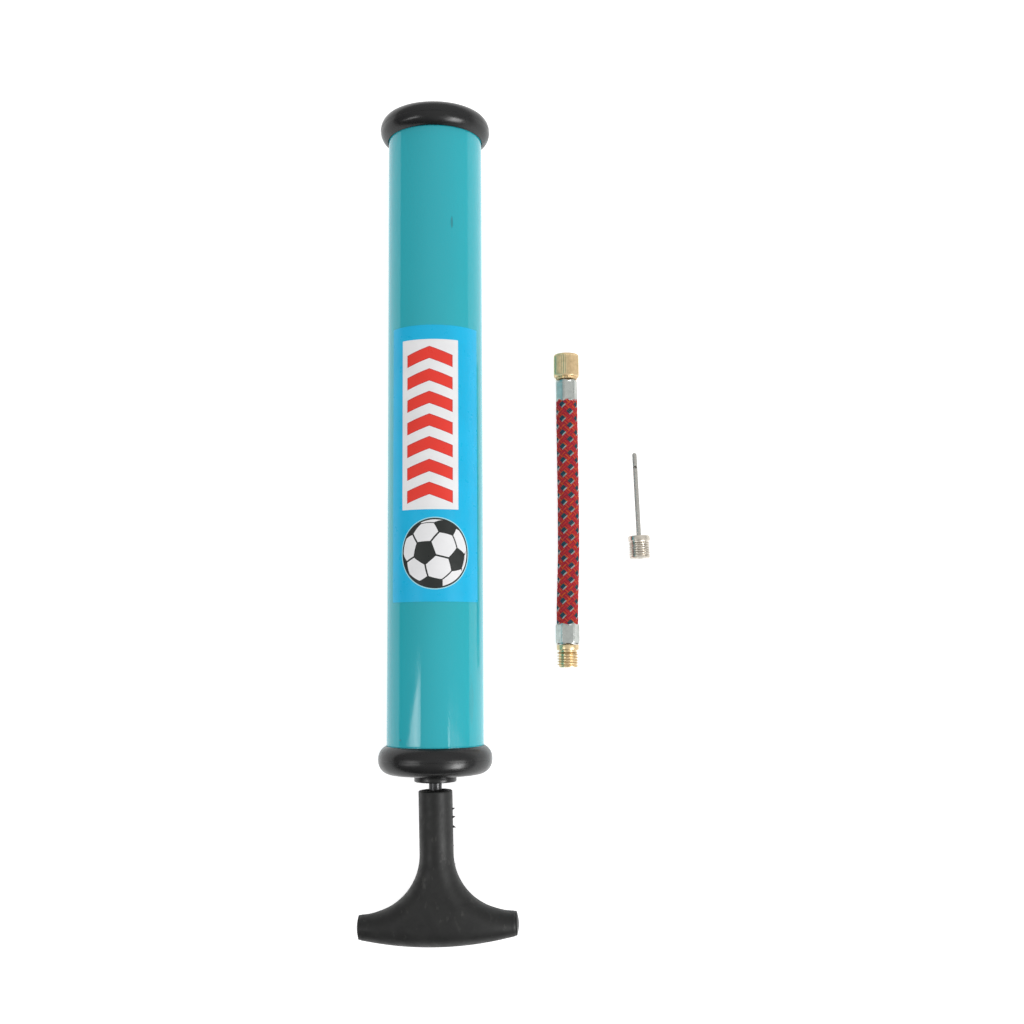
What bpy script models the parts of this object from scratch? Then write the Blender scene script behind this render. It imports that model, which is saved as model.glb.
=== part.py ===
"""Ball inflation pump lying on its two round caps, with its braided hose and its needle laid beside it.

Frame: metres, +Z up from the surface it lies on. +Y runs along the pump from the handle to the outlet, and
the hose and the needle lie on the +X side. The origin is on that surface, at the middle of the pump and the
needle. Stations are distances along the pump, from the barrel's shown end at the handle cap to the outlet.
"""

import math

import bmesh
import bpy
from mathutils import Matrix, Vector

MM = 0.001

# Clearances between pieces
SEAT_GAP = 0.3 * MM
SMALL_GAP = 0.2 * MM
RUNNING_GAP = 0.08 * MM

# Barrel
TUBE_R = 17.0 * MM
TUBE_WALL = 0.8 * MM
TUBE_SHOWN = 217.6 * MM
TUBE_SEAT = 7.0 * MM
TUBE_SEGMENTS = 48

# Sticker on the barrel
LABEL_START = 49.5 * MM
LABEL_LENGTH = 96.0 * MM
LABEL_HALF_ANGLE = math.radians(59.0)
LABEL_TURN = math.radians(3.4)
LABEL_THICKNESS = 0.15 * MM
LABEL_LIFT = 0.1 * MM
LABEL_STEPS = 16

# The two end caps share one outer shape
CAP_PROUD = 3.0 * MM
CAP_DEPTH = 10.4 * MM
CAP_LAND = 0.8 * MM
CAP_SEGMENTS = 32
ARC_STEPS = 5
HANDLE_PLUG = 2.0 * MM
OUTLET_PLUG = 8.0 * MM

# Piston rod
ROD_R = 2.25 * MM
ROD_THREAD_STEP = 0.25 * MM
ROD_COLLAR_STEP = 1.55 * MM
ROD_COLLAR = 2.0 * MM
ROD_IN_HANDLE = 20.0 * MM
ROD_TIP_PROUD = 0.8 * MM
ROD_TIP_EDGE = 0.5 * MM
BOTTOM_GAP = 1.6 * MM

# Rod guide bush in the handle cap, and the buffer washer inside it
BUSH_WALL = 2.75 * MM
BUSH_LIP = 2.4 * MM
BUSH_FLANGE = 2.3 * MM
BUSH_REACH = 1.0 * MM
BUSH_EDGE = 0.5 * MM
BUFFER_WALL = 4.75 * MM
BUFFER = 3.0 * MM

# Seal ring round the outlet cap's plug
RING_MINOR_R = 0.8 * MM
RING_LIFT = 0.15 * MM
RING_GROOVE_SPAN = 2.2 * MM
RING_FROM_FACE = 3.0 * MM
RING_SIDES = 8

# Thread shared by the outlet, both hose ends and the needle, drawn as a plain bore and shaft
THREAD_R = 3.9 * MM
THREAD_GAP = 0.15 * MM

# Outlet bush and its non-return valve
OUTLET_WALL = 1.95 * MM
OUTLET_PROUD = 0.4 * MM
OUTLET_EDGE = 0.3 * MM
OUTLET_FLOOR = 1.7 * MM
OUTLET_FLOOR_HOLE_R = 1.6 * MM
VALVE_SEAT = 1.2 * MM
VALVE_SEAT_STEP = 0.5 * MM
VALVE_BALL_R = 1.6 * MM
VALVE_BALL_GAP = 0.1 * MM
CHAMBER_GAP = 0.8 * MM
CHAMBER = 6.6 * MM
RETAINER = 1.0 * MM
RETAINER_HOLE_R = 0.9 * MM
SPRING_STEP = 0.3 * MM
SPRING_WIRE_R = 0.22 * MM
SPRING_TURNS = 4
SPRING_STEPS = 12

# Piston
CUP_GAP = 0.15 * MM
CUP_WEB = 2.0 * MM
CUP_LIP = 1.6 * MM
CUP_LIP_EDGE = 0.7 * MM
CUP_DEPTH = 8.0 * MM
FRONT_DISC = 2.4 * MM
BACK_DISC = 3.0 * MM
BACK_DISC_GAP = 0.6 * MM
DISC_EDGE = 0.5 * MM
PISTON_WASHER_WALL = 2.5 * MM
PISTON_WASHER = 0.8 * MM
NUT_WALL = 1.5 * MM
NUT_THICKNESS = 3.2 * MM

# T-handle
HANDLE_GAP = 2.4 * MM
NECK_WALL = 3.8 * MM
NECK_EDGE = 0.4 * MM
NECK_LENGTH = 21.6 * MM
FLARE_R = 19.5 * MM
BAR_TIP = 2.35 * MM
BAR_END = 8.8 * MM
BAR_THICKNESS = 14.0 * MM
BAR_SAG = 3.0 * MM
# How far across the bar, from its near side to its far side, each row of its points lies
BAR_ROWS = (0.01, 0.08, 0.22, 0.4, 0.6, 0.78, 0.92, 0.99)
HANDLE_SEAM = 0.1 * MM
HANDLE_LEAN = math.radians(1.1)
HANDLE_SIDES = 40
FLARE_STEPS = 9

# Braided hose, lying beside the pump. Each point is (from the pump's axis, station, height) of its centre
HOSE_R = 4.0 * MM
HOSE_ROUTE_MM = [
    (48.00, 124.3, 4.65),
    (47.99, 119.0, 4.55),
    (48.05, 113.0, 4.30),
    (48.08, 107.0, 4.10),
    (48.13, 101.0, 4.05),
    (48.16, 95.0, 4.05),
    (48.17, 89.0, 4.05),
    (48.17, 83.0, 4.05),
    (48.14, 77.0, 4.05),
    (48.10, 71.0, 4.05),
    (47.98, 65.0, 4.05),
    (47.78, 59.0, 4.10),
    (47.56, 53.0, 4.20),
    (47.38, 47.5, 4.35),
    (47.35, 42.6, 4.40),
]

# Ferrules, each crimped over one end of the hose and the stem inside it
FERRULE_STEP = -0.1 * MM
FERRULE = 7.9 * MM
OUTLET_FERRULE_STEP = 0.35 * MM
OUTLET_FERRULE = 7.3 * MM
FERRULE_EDGE = 0.3 * MM
FERRULE_FLOOR = 1.2 * MM
STEM_R = 2.0 * MM
STEM_BORE_R = 1.0 * MM

# Hose end with the knurled nut
STEM_FLANGE = 1.2 * MM
STEM_FLANGE_GAP = 0.55 * MM
SWIVEL_NUT_WALL = 0.6 * MM
SWIVEL_NUT = 9.6 * MM
SWIVEL_NUT_END_WALL = 1.4 * MM
SWIVEL_NUT_CHAMFER = 1.0 * MM
SWIVEL_NUT_GAP = 0.4 * MM
SEAT_WASHER = 1.0 * MM
SEAT_WASHER_BORE_R = 1.2 * MM

# Hose end with the male fitting
FITTING_COLLAR_STEP = 0.1 * MM
FITTING_COLLAR = 1.9 * MM
FITTING_THREAD = 6.3 * MM
FITTING_NECK_STEP = 0.7 * MM
FITTING_NECK = 0.9 * MM
FITTING_EDGE = 0.6 * MM

# Inflation needle, lying beside the hose and turned a little
NEEDLE_X = 74.25 * MM
NEEDLE_STATION = 70.25 * MM
NEEDLE_TURN = math.radians(2.1)
NEEDLE_SHOWN = 31.0 * MM
NEEDLE_R = 0.88 * MM
NEEDLE_WALL = 0.38 * MM
NEEDLE_TIP_WALL = 1.4 * MM
NEEDLE_HOLE_R = 0.42 * MM
NEEDLE_HOLE_FROM_TIP = 8.0 * MM
NEEDLE_TIP_STEPS = 4
HUB_LENGTH = 8.3 * MM
HUB_FLANGE_STEP = 0.075 * MM
HUB_FLANGE = 1.9 * MM
HUB_EDGE = 0.4 * MM
HUB_SEAT = 0.8 * MM

# Sides of the other turned pieces
ROUND_SEGMENTS = 24
FINE_SEGMENTS = 16
BALL_SEGMENTS = 16
BALL_RINGS = 10
SPRING_RESOLUTION = 2
HOSE_RESOLUTION = 4
SHARP_ANGLE = math.radians(35)

# Radii worked out from the values above
TUBE_INNER_R = TUBE_R - TUBE_WALL
PLUG_R = TUBE_INNER_R - SEAT_GAP
CAP_R = TUBE_R + CAP_PROUD
BUSH_R = ROD_R + BUSH_WALL
BUSH_FLANGE_R = BUSH_R + BUSH_LIP
RING_R = TUBE_INNER_R - RING_LIFT - RING_MINOR_R
SOCKET_R = THREAD_R + THREAD_GAP
OUTLET_R = SOCKET_R + OUTLET_WALL
RETAINER_R = SOCKET_R - SEAT_GAP
VALVE_SEAT_R = VALVE_BALL_R - VALVE_SEAT_STEP
CHAMBER_R = VALVE_BALL_R + CHAMBER_GAP
SPRING_R = VALVE_BALL_R - SPRING_STEP
ROD_THREAD_R = ROD_R - ROD_THREAD_STEP
ROD_BORE_R = ROD_THREAD_R + SEAT_GAP
NECK_R = ROD_R + NECK_WALL
BAR_HALF_WIDTH = NECK_R + FLARE_R + BAR_TIP
FERRULE_R = HOSE_R + FERRULE_STEP
OUTLET_FERRULE_R = HOSE_R + OUTLET_FERRULE_STEP
STEM_SEAT_R = STEM_R + SEAT_GAP
SWIVEL_NUT_R = SOCKET_R + SWIVEL_NUT_WALL
HUB_FLANGE_R = THREAD_R + HUB_FLANGE_STEP

# Places along the pump, as stations, and the pump's place in the frame
PUMP_END = TUBE_SHOWN + CAP_DEPTH + OUTLET_PROUD
BUSH_END = -CAP_DEPTH - SEAT_GAP - BUSH_FLANGE
NECK_STATION = BUSH_END - HANDLE_GAP
BAR_START = NECK_LENGTH + FLARE_R
BAR_FAR_SIDE = BAR_START + BAR_END + BAR_SAG
HANDLE_LEFT = BAR_HALF_WIDTH * math.cos(HANDLE_LEAN) - BAR_START * math.sin(HANDLE_LEAN)
NEEDLE_RIGHT = NEEDLE_X + HUB_FLANGE_R + 0.5 * HUB_LENGTH * math.sin(NEEDLE_TURN)
AXIS_X = 0.5 * (HANDLE_LEFT - NEEDLE_RIGHT)
STATION_0 = 0.5 * (BAR_FAR_SIDE - NECK_STATION - PUMP_END)
AXIS_HEIGHT = CAP_R * math.cos(math.pi / CAP_SEGMENTS)

# The piston stack along the rod, from the outlet end back
ROD_TIP = TUBE_SHOWN - OUTLET_PLUG - BOTTOM_GAP
NUT_START = ROD_TIP - ROD_TIP_PROUD - NUT_THICKNESS
WASHER_START = NUT_START - SEAT_GAP - PISTON_WASHER
FRONT_START = WASHER_START - SEAT_GAP - FRONT_DISC
CUP_START = FRONT_START - SEAT_GAP - CUP_WEB
BACK_START = CUP_START - SEAT_GAP - BACK_DISC
COLLAR_START = BACK_START - SEAT_GAP - ROD_COLLAR

# Inside the outlet bush, measured from the barrel's shown end
OUTLET_START = -OUTLET_PLUG + OUTLET_FLOOR + SEAT_GAP
SEAT_FACE = OUTLET_START + VALVE_SEAT
BALL_CENTRE = SEAT_FACE + math.sqrt(VALVE_BALL_R**2 - VALVE_SEAT_R**2) + VALVE_BALL_GAP
SOCKET_START = SEAT_FACE + CHAMBER
RETAINER_START = SOCKET_START + SEAT_GAP

# Along each hose end, measured from the end of the braid
STEM_START = SEAT_GAP + FERRULE_FLOOR + SEAT_GAP
SWIVEL_NUT_START = SEAT_GAP + FERRULE + SWIVEL_NUT_GAP
STEM_FLANGE_START = SWIVEL_NUT_START + SWIVEL_NUT_END_WALL + SEAT_GAP
STEM_END = STEM_FLANGE_START + STEM_FLANGE
COLLAR_FACE = SEAT_GAP + OUTLET_FERRULE + SEAT_GAP
FITTING_NECK_START = COLLAR_FACE + FITTING_COLLAR
FITTING_THREAD_START = FITTING_NECK_START + FITTING_NECK
FITTING_TIP = FITTING_NECK_START + FITTING_THREAD

MATERIALS = {
    "teal_barrel": ((0.045, 0.40, 0.49), 0.28, 0.4),
    "sticker_blue": ((0.02, 0.49, 0.83), 0.35, 0.0),
    "black_cap": ((0.022, 0.022, 0.024), 0.18, 0.0),
    "black_rod": ((0.03, 0.03, 0.032), 0.3, 0.6),
    "charcoal_handle": ((0.055, 0.056, 0.056), 0.5, 0.0),
    "black_rubber": ((0.02, 0.02, 0.02), 0.7, 0.0),
    "brass": ((0.72, 0.56, 0.30), 0.28, 1.0),
    "zinc_ferrule": ((0.62, 0.64, 0.62), 0.25, 1.0),
    "red_braid": ((0.50, 0.06, 0.055), 0.6, 0.0),
    "nickel_hub": ((0.66, 0.62, 0.56), 0.25, 1.0),
    "needle_steel": ((0.62, 0.62, 0.61), 0.22, 1.0),
    "steel": ((0.56, 0.56, 0.57), 0.3, 1.0),
    "white_plastic": ((0.80, 0.80, 0.78), 0.45, 0.0),
}


def clear_scene():
    for old in list(bpy.data.objects):
        bpy.data.objects.remove(old, do_unlink=True)


def new_collection(name):
    made = bpy.data.collections.new(name)
    bpy.context.scene.collection.children.link(made)
    return made


def make_material(name):
    colour, roughness, metallic = MATERIALS[name]
    made = bpy.data.materials.get(name) or bpy.data.materials.new(name)
    made.use_nodes = True
    shader = made.node_tree.nodes["Principled BSDF"]
    shader.inputs["Base Color"].default_value = (*colour, 1.0)
    shader.inputs["Roughness"].default_value = roughness
    shader.inputs["Metallic"].default_value = metallic
    return made


def place(name, data, parent, material):
    made = bpy.data.objects.new(name, data)
    made.parent = parent
    made.data.materials.append(make_material(material))
    PARTS.objects.link(made)
    return made


def make_empty(name, location, rotation):
    made = bpy.data.objects.new(name, None)
    made.location = location
    made.rotation_euler = rotation
    made.empty_display_size = 10 * MM
    PARTS.objects.link(made)
    return made


def shade(mesh):
    mesh.shade_smooth()
    mesh.set_sharp_from_angle(angle=SHARP_ANGLE)


def arc(centre_r, centre_z, radius, start, end, steps):
    """Points (r, z) along a round stretch of a profile, the angles in degrees from +r towards +z."""
    points = []
    for i in range(steps + 1):
        angle = math.radians(start + (end - start) * i / steps)
        points.append((centre_r + radius * math.cos(angle), centre_z + radius * math.sin(angle)))
    return points


def runs_down_outside(profile):
    """True if the outline goes round clockwise, so that its outer side is drawn top to bottom."""
    area = 0.0
    for (r0, z0), (r1, z1) in zip(profile, profile[1:] + profile[:1]):
        area += r0 * z1 - r1 * z0
    return area < 0


def open_at_axis(profile):
    """The profile cut at its edge along the axis, so that it starts and ends on the axis."""
    for i, (r, _) in enumerate(profile):
        following = (i + 1) % len(profile)
        if r == 0.0 and profile[following][0] == 0.0:
            return profile[following:] + profile[:following]
    return profile


def turned(name, profile, parent, material, segments, station=0.0):
    """A solid turned about its parent's Z axis from a closed outline of (r, z) points."""
    if not runs_down_outside(profile):
        profile = profile[::-1]
    profile = open_at_axis(profile)
    edges = [(i, i + 1) for i in range(len(profile) - 1)]
    if profile[0][0] > 0.0:
        edges.append((len(profile) - 1, 0))
    mesh = bpy.data.meshes.new(name)
    mesh.from_pydata([(r, 0.0, z) for r, z in profile], edges, [])
    made = place(name, mesh, parent, material)
    made.location = (0, 0, station)
    made.rotation_euler = (0, 0, math.pi / segments)
    screw = made.modifiers.new("turn", "SCREW")
    screw.axis = "Z"
    screw.steps = segments
    screw.render_steps = segments
    screw.use_merge_vertices = True
    screw.merge_threshold = 0.00001
    screw.use_smooth_shade = True
    return made


def disc_profile(radius, bore, thickness, edge=0.0):
    """A washer's section, with a chamfer on both outer edges."""
    if edge == 0.0:
        return [(radius, thickness), (radius, 0.0), (bore, 0.0), (bore, thickness)]
    return [
        (radius - edge, thickness),
        (radius, thickness - edge),
        (radius, edge),
        (radius - edge, 0.0),
        (bore, 0.0),
        (bore, thickness),
    ]


def cutter_cylinder(name, radius, length, parent, location, rotation=(0, 0, 0)):
    """A plain round cutter centred on its location."""
    mesh = bpy.data.meshes.new(name)
    shape = bmesh.new()
    bmesh.ops.create_cone(
        shape, cap_ends=True, segments=FINE_SEGMENTS, radius1=radius, radius2=radius, depth=length
    )
    shape.to_mesh(mesh)
    shape.free()
    made = bpy.data.objects.new(name, mesh)
    made.parent = parent
    made.location = location
    made.rotation_euler = rotation
    made.hide_render = True
    made.display_type = "WIRE"
    CUTTERS.objects.link(made)
    return made


def cut(target, cutter):
    boolean = target.modifiers.new("cut", "BOOLEAN")
    boolean.operation = "DIFFERENCE"
    boolean.solver = "EXACT"
    boolean.object = cutter


# Barrel and caps


def cap_outer_profile():
    """The rounded rim, from the lip on the barrel out to the end face. Depth grows away from the barrel."""
    rim_r = 0.5 * (CAP_DEPTH - CAP_LAND)
    centre_r = CAP_R - rim_r
    lip_angle = math.degrees(math.acos((TUBE_R + SEAT_GAP - centre_r) / rim_r))
    lower = arc(centre_r, rim_r, rim_r, -lip_angle, 0.0, ARC_STEPS)
    upper = arc(centre_r, rim_r + CAP_LAND, rim_r, 0.0, 90.0, ARC_STEPS)
    return lower + upper


def cap_groove_profile():
    """The ring-shaped groove that takes the barrel's end, from the outer lip round to the plug."""
    bottom = TUBE_SEAT + SEAT_GAP
    return [(PLUG_R, bottom), (TUBE_R + SEAT_GAP, bottom)]


def build_barrel(pump):
    inner = TUBE_INNER_R
    low = -TUBE_SEAT
    high = TUBE_SHOWN + TUBE_SEAT
    profile = [(TUBE_R, high), (TUBE_R, low), (inner, low), (inner, high)]
    turned("barrel_tube", profile, pump, "teal_barrel", TUBE_SEGMENTS)
    build_label(pump)


def build_label(pump):
    """A thin curved sheet on the barrel's upper side; the pump empty's -Y axis points up."""
    radius = TUBE_R + LABEL_LIFT
    mesh = bpy.data.meshes.new("barrel_label")
    shape = bmesh.new()
    rows = []
    for i in range(LABEL_STEPS + 1):
        angle = LABEL_TURN + LABEL_HALF_ANGLE * (2 * i / LABEL_STEPS - 1)
        x = radius * math.sin(angle)
        y = -radius * math.cos(angle)
        ends = (LABEL_START, LABEL_START + LABEL_LENGTH)
        rows.append([shape.verts.new((x, y, z)) for z in ends])
    for (a, b), (c, d) in zip(rows, rows[1:]):
        shape.faces.new((a, c, d, b))
    shape.to_mesh(mesh)
    shape.free()
    made = place("barrel_label", mesh, pump, "sticker_blue")
    shell = made.modifiers.new("thickness", "SOLIDIFY")
    shell.thickness = LABEL_THICKNESS
    shell.offset = 1.0


def build_handle_cap(pump):
    bore = BUSH_R + SEAT_GAP
    profile = cap_outer_profile()
    profile += [(bore, CAP_DEPTH), (bore, -HANDLE_PLUG)]
    profile += [(PLUG_R, -HANDLE_PLUG)]
    profile += cap_groove_profile()
    mirrored = [(r, -z) for r, z in profile]
    turned("handle_cap", mirrored, pump, "black_cap", CAP_SEGMENTS)


def build_outlet_cap(pump):
    bore = OUTLET_R + SEAT_GAP
    floor = -OUTLET_PLUG + OUTLET_FLOOR
    groove_low = -OUTLET_PLUG + RING_FROM_FACE
    groove_high = groove_low + RING_GROOVE_SPAN
    groove_r = RING_R - RING_MINOR_R - SEAT_GAP
    profile = cap_outer_profile()
    profile += [(bore, CAP_DEPTH), (bore, floor)]
    profile += [(OUTLET_FLOOR_HOLE_R, floor), (OUTLET_FLOOR_HOLE_R, -OUTLET_PLUG)]
    profile += [(PLUG_R, -OUTLET_PLUG), (PLUG_R, groove_low), (groove_r, groove_low)]
    profile += [(groove_r, groove_high), (PLUG_R, groove_high)]
    profile += cap_groove_profile()
    turned("outlet_cap", profile, pump, "black_cap", CAP_SEGMENTS, TUBE_SHOWN)
    ring_station = TUBE_SHOWN + 0.5 * (groove_low + groove_high)
    ring = arc(RING_R, 0.0, RING_MINOR_R, 0.0, -360.0, RING_SIDES)[:-1]
    turned("outlet_cap_o_ring", ring, pump, "black_rubber", CAP_SEGMENTS, ring_station)


def build_rod_guide(pump):
    bore = ROD_R + RUNNING_GAP
    inner_end = HANDLE_PLUG + BUSH_REACH
    flange_top = -CAP_DEPTH - SEAT_GAP
    profile = [
        (BUSH_R - BUSH_EDGE, inner_end),
        (BUSH_R, inner_end - BUSH_EDGE),
        (BUSH_R, flange_top),
        (BUSH_FLANGE_R, flange_top),
        (BUSH_FLANGE_R, BUSH_END + BUSH_EDGE),
        (BUSH_FLANGE_R - BUSH_EDGE, BUSH_END),
        (bore, BUSH_END),
        (bore, inner_end),
    ]
    turned("rod_guide_bush", profile, pump, "black_cap", ROUND_SEGMENTS)
    washer = disc_profile(ROD_R + BUFFER_WALL, ROD_R + SEAT_GAP, BUFFER, DISC_EDGE)
    turned("buffer_washer", washer, pump, "black_rubber", ROUND_SEGMENTS, inner_end + SEAT_GAP)


# Outlet bush and valve


def build_outlet_bush(pump):
    end = CAP_DEPTH + OUTLET_PROUD
    profile = [
        (OUTLET_R - OUTLET_EDGE, end),
        (OUTLET_R, end - OUTLET_EDGE),
        (OUTLET_R, OUTLET_START),
        (VALVE_SEAT_R, OUTLET_START),
        (VALVE_SEAT_R, SEAT_FACE),
        (CHAMBER_R, SEAT_FACE),
        (CHAMBER_R, SOCKET_START),
        (SOCKET_R, SOCKET_START),
        (SOCKET_R, end),
    ]
    turned("outlet_bush", profile, pump, "brass", ROUND_SEGMENTS, TUBE_SHOWN)
    washer = disc_profile(RETAINER_R, RETAINER_HOLE_R, RETAINER)
    turned("valve_retainer", washer, pump, "brass", ROUND_SEGMENTS, TUBE_SHOWN + RETAINER_START)


def build_valve(pump, valve_axis):
    mesh = bpy.data.meshes.new("valve_ball")
    shape = bmesh.new()
    bmesh.ops.create_uvsphere(shape, u_segments=BALL_SEGMENTS, v_segments=BALL_RINGS, radius=VALVE_BALL_R)
    shape.to_mesh(mesh)
    shape.free()
    shade(mesh)
    place("valve_ball", mesh, valve_axis, "steel")
    first = TUBE_SHOWN + BALL_CENTRE + SPRING_R
    last = TUBE_SHOWN + RETAINER_START - SEAT_GAP - SPRING_WIRE_R
    count = SPRING_TURNS * SPRING_STEPS
    points = []
    for i in range(count + 1):
        angle = 2 * math.pi * i / SPRING_STEPS
        z = first + (last - first) * i / count
        points.append((SPRING_R * math.cos(angle), SPRING_R * math.sin(angle), z))
    wire("valve_spring", points, SPRING_WIRE_R, pump, "steel", SPRING_RESOLUTION)


def wire(name, points, radius, parent, material, resolution):
    """A round wire or tube with filled ends, along straight runs between the points."""
    curve = bpy.data.curves.new(name, "CURVE")
    curve.dimensions = "3D"
    curve.bevel_depth = radius
    curve.bevel_resolution = resolution
    curve.use_fill_caps = True
    spline = curve.splines.new("POLY")
    spline.points.add(len(points) - 1)
    for point, place_at in zip(spline.points, points):
        point.co = (*place_at, 1.0)
    return place(name, curve, parent, material)


# Piston, rod and handle


def build_piston(plunger):
    cup_r = TUBE_INNER_R - CUP_GAP
    lip_inner = cup_r - CUP_LIP
    cup = [
        (cup_r - CUP_LIP_EDGE, CUP_DEPTH),
        (cup_r, CUP_DEPTH - CUP_LIP_EDGE),
        (cup_r, CUP_LIP_EDGE),
        (cup_r - CUP_LIP_EDGE, 0.0),
        (ROD_BORE_R, 0.0),
        (ROD_BORE_R, CUP_WEB),
        (lip_inner, CUP_WEB),
    ]
    turned("piston_cup", cup, plunger, "black_rubber", CAP_SEGMENTS, CUP_START)
    front = disc_profile(lip_inner - SEAT_GAP, ROD_BORE_R, FRONT_DISC, DISC_EDGE)
    turned("piston_front_disc", front, plunger, "white_plastic", CAP_SEGMENTS, FRONT_START)
    back = disc_profile(TUBE_INNER_R - BACK_DISC_GAP, ROD_BORE_R, BACK_DISC, DISC_EDGE)
    turned("piston_back_disc", back, plunger, "white_plastic", CAP_SEGMENTS, BACK_START)


def build_rod(plunger):
    low = NECK_STATION - ROD_IN_HANDLE
    collar_end = COLLAR_START + ROD_COLLAR
    collar_r = ROD_R + ROD_COLLAR_STEP
    profile = [
        (0.0, ROD_TIP),
        (ROD_THREAD_R - ROD_TIP_EDGE, ROD_TIP),
        (ROD_THREAD_R, ROD_TIP - ROD_TIP_EDGE),
        (ROD_THREAD_R, collar_end),
        (collar_r, collar_end),
        (collar_r, COLLAR_START),
        (ROD_R, COLLAR_START),
        (ROD_R, low),
        (0.0, low),
    ]
    turned("piston_rod", profile, plunger, "black_rod", ROUND_SEGMENTS)
    washer = disc_profile(ROD_THREAD_R + PISTON_WASHER_WALL, ROD_BORE_R, PISTON_WASHER)
    turned("piston_washer", washer, plunger, "steel", ROUND_SEGMENTS, WASHER_START)
    build_piston_nut(plunger)


def build_piston_nut(plunger):
    mesh = bpy.data.meshes.new("piston_nut")
    shape = bmesh.new()
    corner_r = (ROD_THREAD_R + NUT_WALL) / math.cos(math.pi / 6)
    bmesh.ops.create_cone(
        shape, cap_ends=True, segments=6, radius1=corner_r, radius2=corner_r, depth=NUT_THICKNESS
    )
    shape.to_mesh(mesh)
    shape.free()
    made = place("piston_nut", mesh, plunger, "steel")
    middle = (0, 0, NUT_START + 0.5 * NUT_THICKNESS)
    made.location = middle
    cut(made, cutter_cylinder("piston_nut_bore", ROD_BORE_R, 2 * NUT_THICKNESS, plunger, middle))


def handle_sections():
    """(distance from the neck's start, half width, how far it has grown into the bar) of each section."""
    sections = [(0.0, NECK_R - NECK_EDGE, 0.0), (NECK_EDGE, NECK_R, 0.0), (NECK_LENGTH, NECK_R, 0.0)]
    for i in range(1, FLARE_STEPS + 1):
        angle = 0.5 * math.pi * i / FLARE_STEPS
        along = NECK_LENGTH + FLARE_R * math.sin(angle)
        width = NECK_R + FLARE_R * (1 - math.cos(angle))
        sections.append((along, width, math.sin(angle) ** 2))
    for share in BAR_ROWS:
        sections.append((BAR_START + share * BAR_END, BAR_HALF_WIDTH, 1.0))
    return sections


def half_thickness(x, along, half_width, grown):
    """How thick the handle is on each side of its seam. It is round in the neck and across the bar."""
    out = (x / BAR_HALF_WIDTH) ** 2
    if grown == 0.0:
        full = half_width
        near = half_width - abs(x)
    else:
        bar = 0.5 * BAR_THICKNESS + 0.5 * (BAR_END - BAR_THICKNESS) * out
        full = NECK_R + (bar - NECK_R) * grown
        near = math.hypot(max(0.0, NECK_R + FLARE_R - abs(x)), along - NECK_LENGTH) - FLARE_R
    far = BAR_START + BAR_END + BAR_SAG * (1 - out) - along
    depth = max(0.0, min(near, far, full))
    return max(HANDLE_SEAM, math.sqrt(depth * (2 * full - depth)))


def handle_ring(along, half_width, grown):
    """One section of the handle: its upper half from one side to the other, then its lower half back."""
    per_half = HANDLE_SIDES // 2
    upper = []
    for i in range(per_half):
        x = half_width * math.cos(math.pi * i / (per_half - 1))
        sag_share = max(0.0, (along - BAR_START) / BAR_END)
        reach = along + sag_share * BAR_SAG * (1 - (x / BAR_HALF_WIDTH) ** 2)
        upper.append((x, half_thickness(x, reach, half_width, grown), -reach))
    return upper + [(x, -y, z) for x, y, z in reversed(upper)]


def build_handle(handle_axis):
    """The moulded T-handle, lofted from its neck to its bar, and bored for the rod along the pump's axis."""
    mesh = bpy.data.meshes.new("t_handle")
    shape = bmesh.new()
    rings = [[shape.verts.new(p) for p in handle_ring(*s)] for s in handle_sections()]
    for upper, lower in zip(rings, rings[1:]):
        for i in range(HANDLE_SIDES):
            j = (i + 1) % HANDLE_SIDES
            shape.faces.new((upper[i], lower[i], lower[j], upper[j]))
    shape.faces.new(rings[0])
    last = rings[-1]
    for i in range(HANDLE_SIDES // 2 - 1):
        shape.faces.new((last[i], last[i + 1], last[-i - 2], last[-i - 1]))
    bmesh.ops.recalc_face_normals(shape, faces=shape.faces)
    shape.to_mesh(mesh)
    shape.free()
    shade(mesh)
    made = place("t_handle", mesh, handle_axis, "charcoal_handle")
    made.rotation_euler = (0, -HANDLE_LEAN, 0)
    depth = ROD_IN_HANDLE + SEAT_GAP
    bore = cutter_cylinder("t_handle_bore", ROD_R + SEAT_GAP, 2 * depth, handle_axis, (0, 0, 0))
    cut(made, bore)


# Hose


def build_hose(hose_root):
    points = [(x * MM, station * MM, z * MM) for x, station, z in HOSE_ROUTE_MM]
    wire("hose_braid", points, HOSE_R, hose_root, "red_braid", HOSE_RESOLUTION)


def build_ferrule(name, radius, length, parent):
    """A cup that covers the hose's end, with a hole for the stem in its open side."""
    end = SEAT_GAP + length
    profile = [
        (radius - FERRULE_EDGE, end),
        (radius, end - FERRULE_EDGE),
        (radius, SEAT_GAP + FERRULE_EDGE),
        (radius - FERRULE_EDGE, SEAT_GAP),
        (0.0, SEAT_GAP),
        (0.0, SEAT_GAP + FERRULE_FLOOR),
        (STEM_SEAT_R, SEAT_GAP + FERRULE_FLOOR),
        (STEM_SEAT_R, end),
    ]
    turned(name, profile, parent, "zinc_ferrule", ROUND_SEGMENTS)


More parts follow.
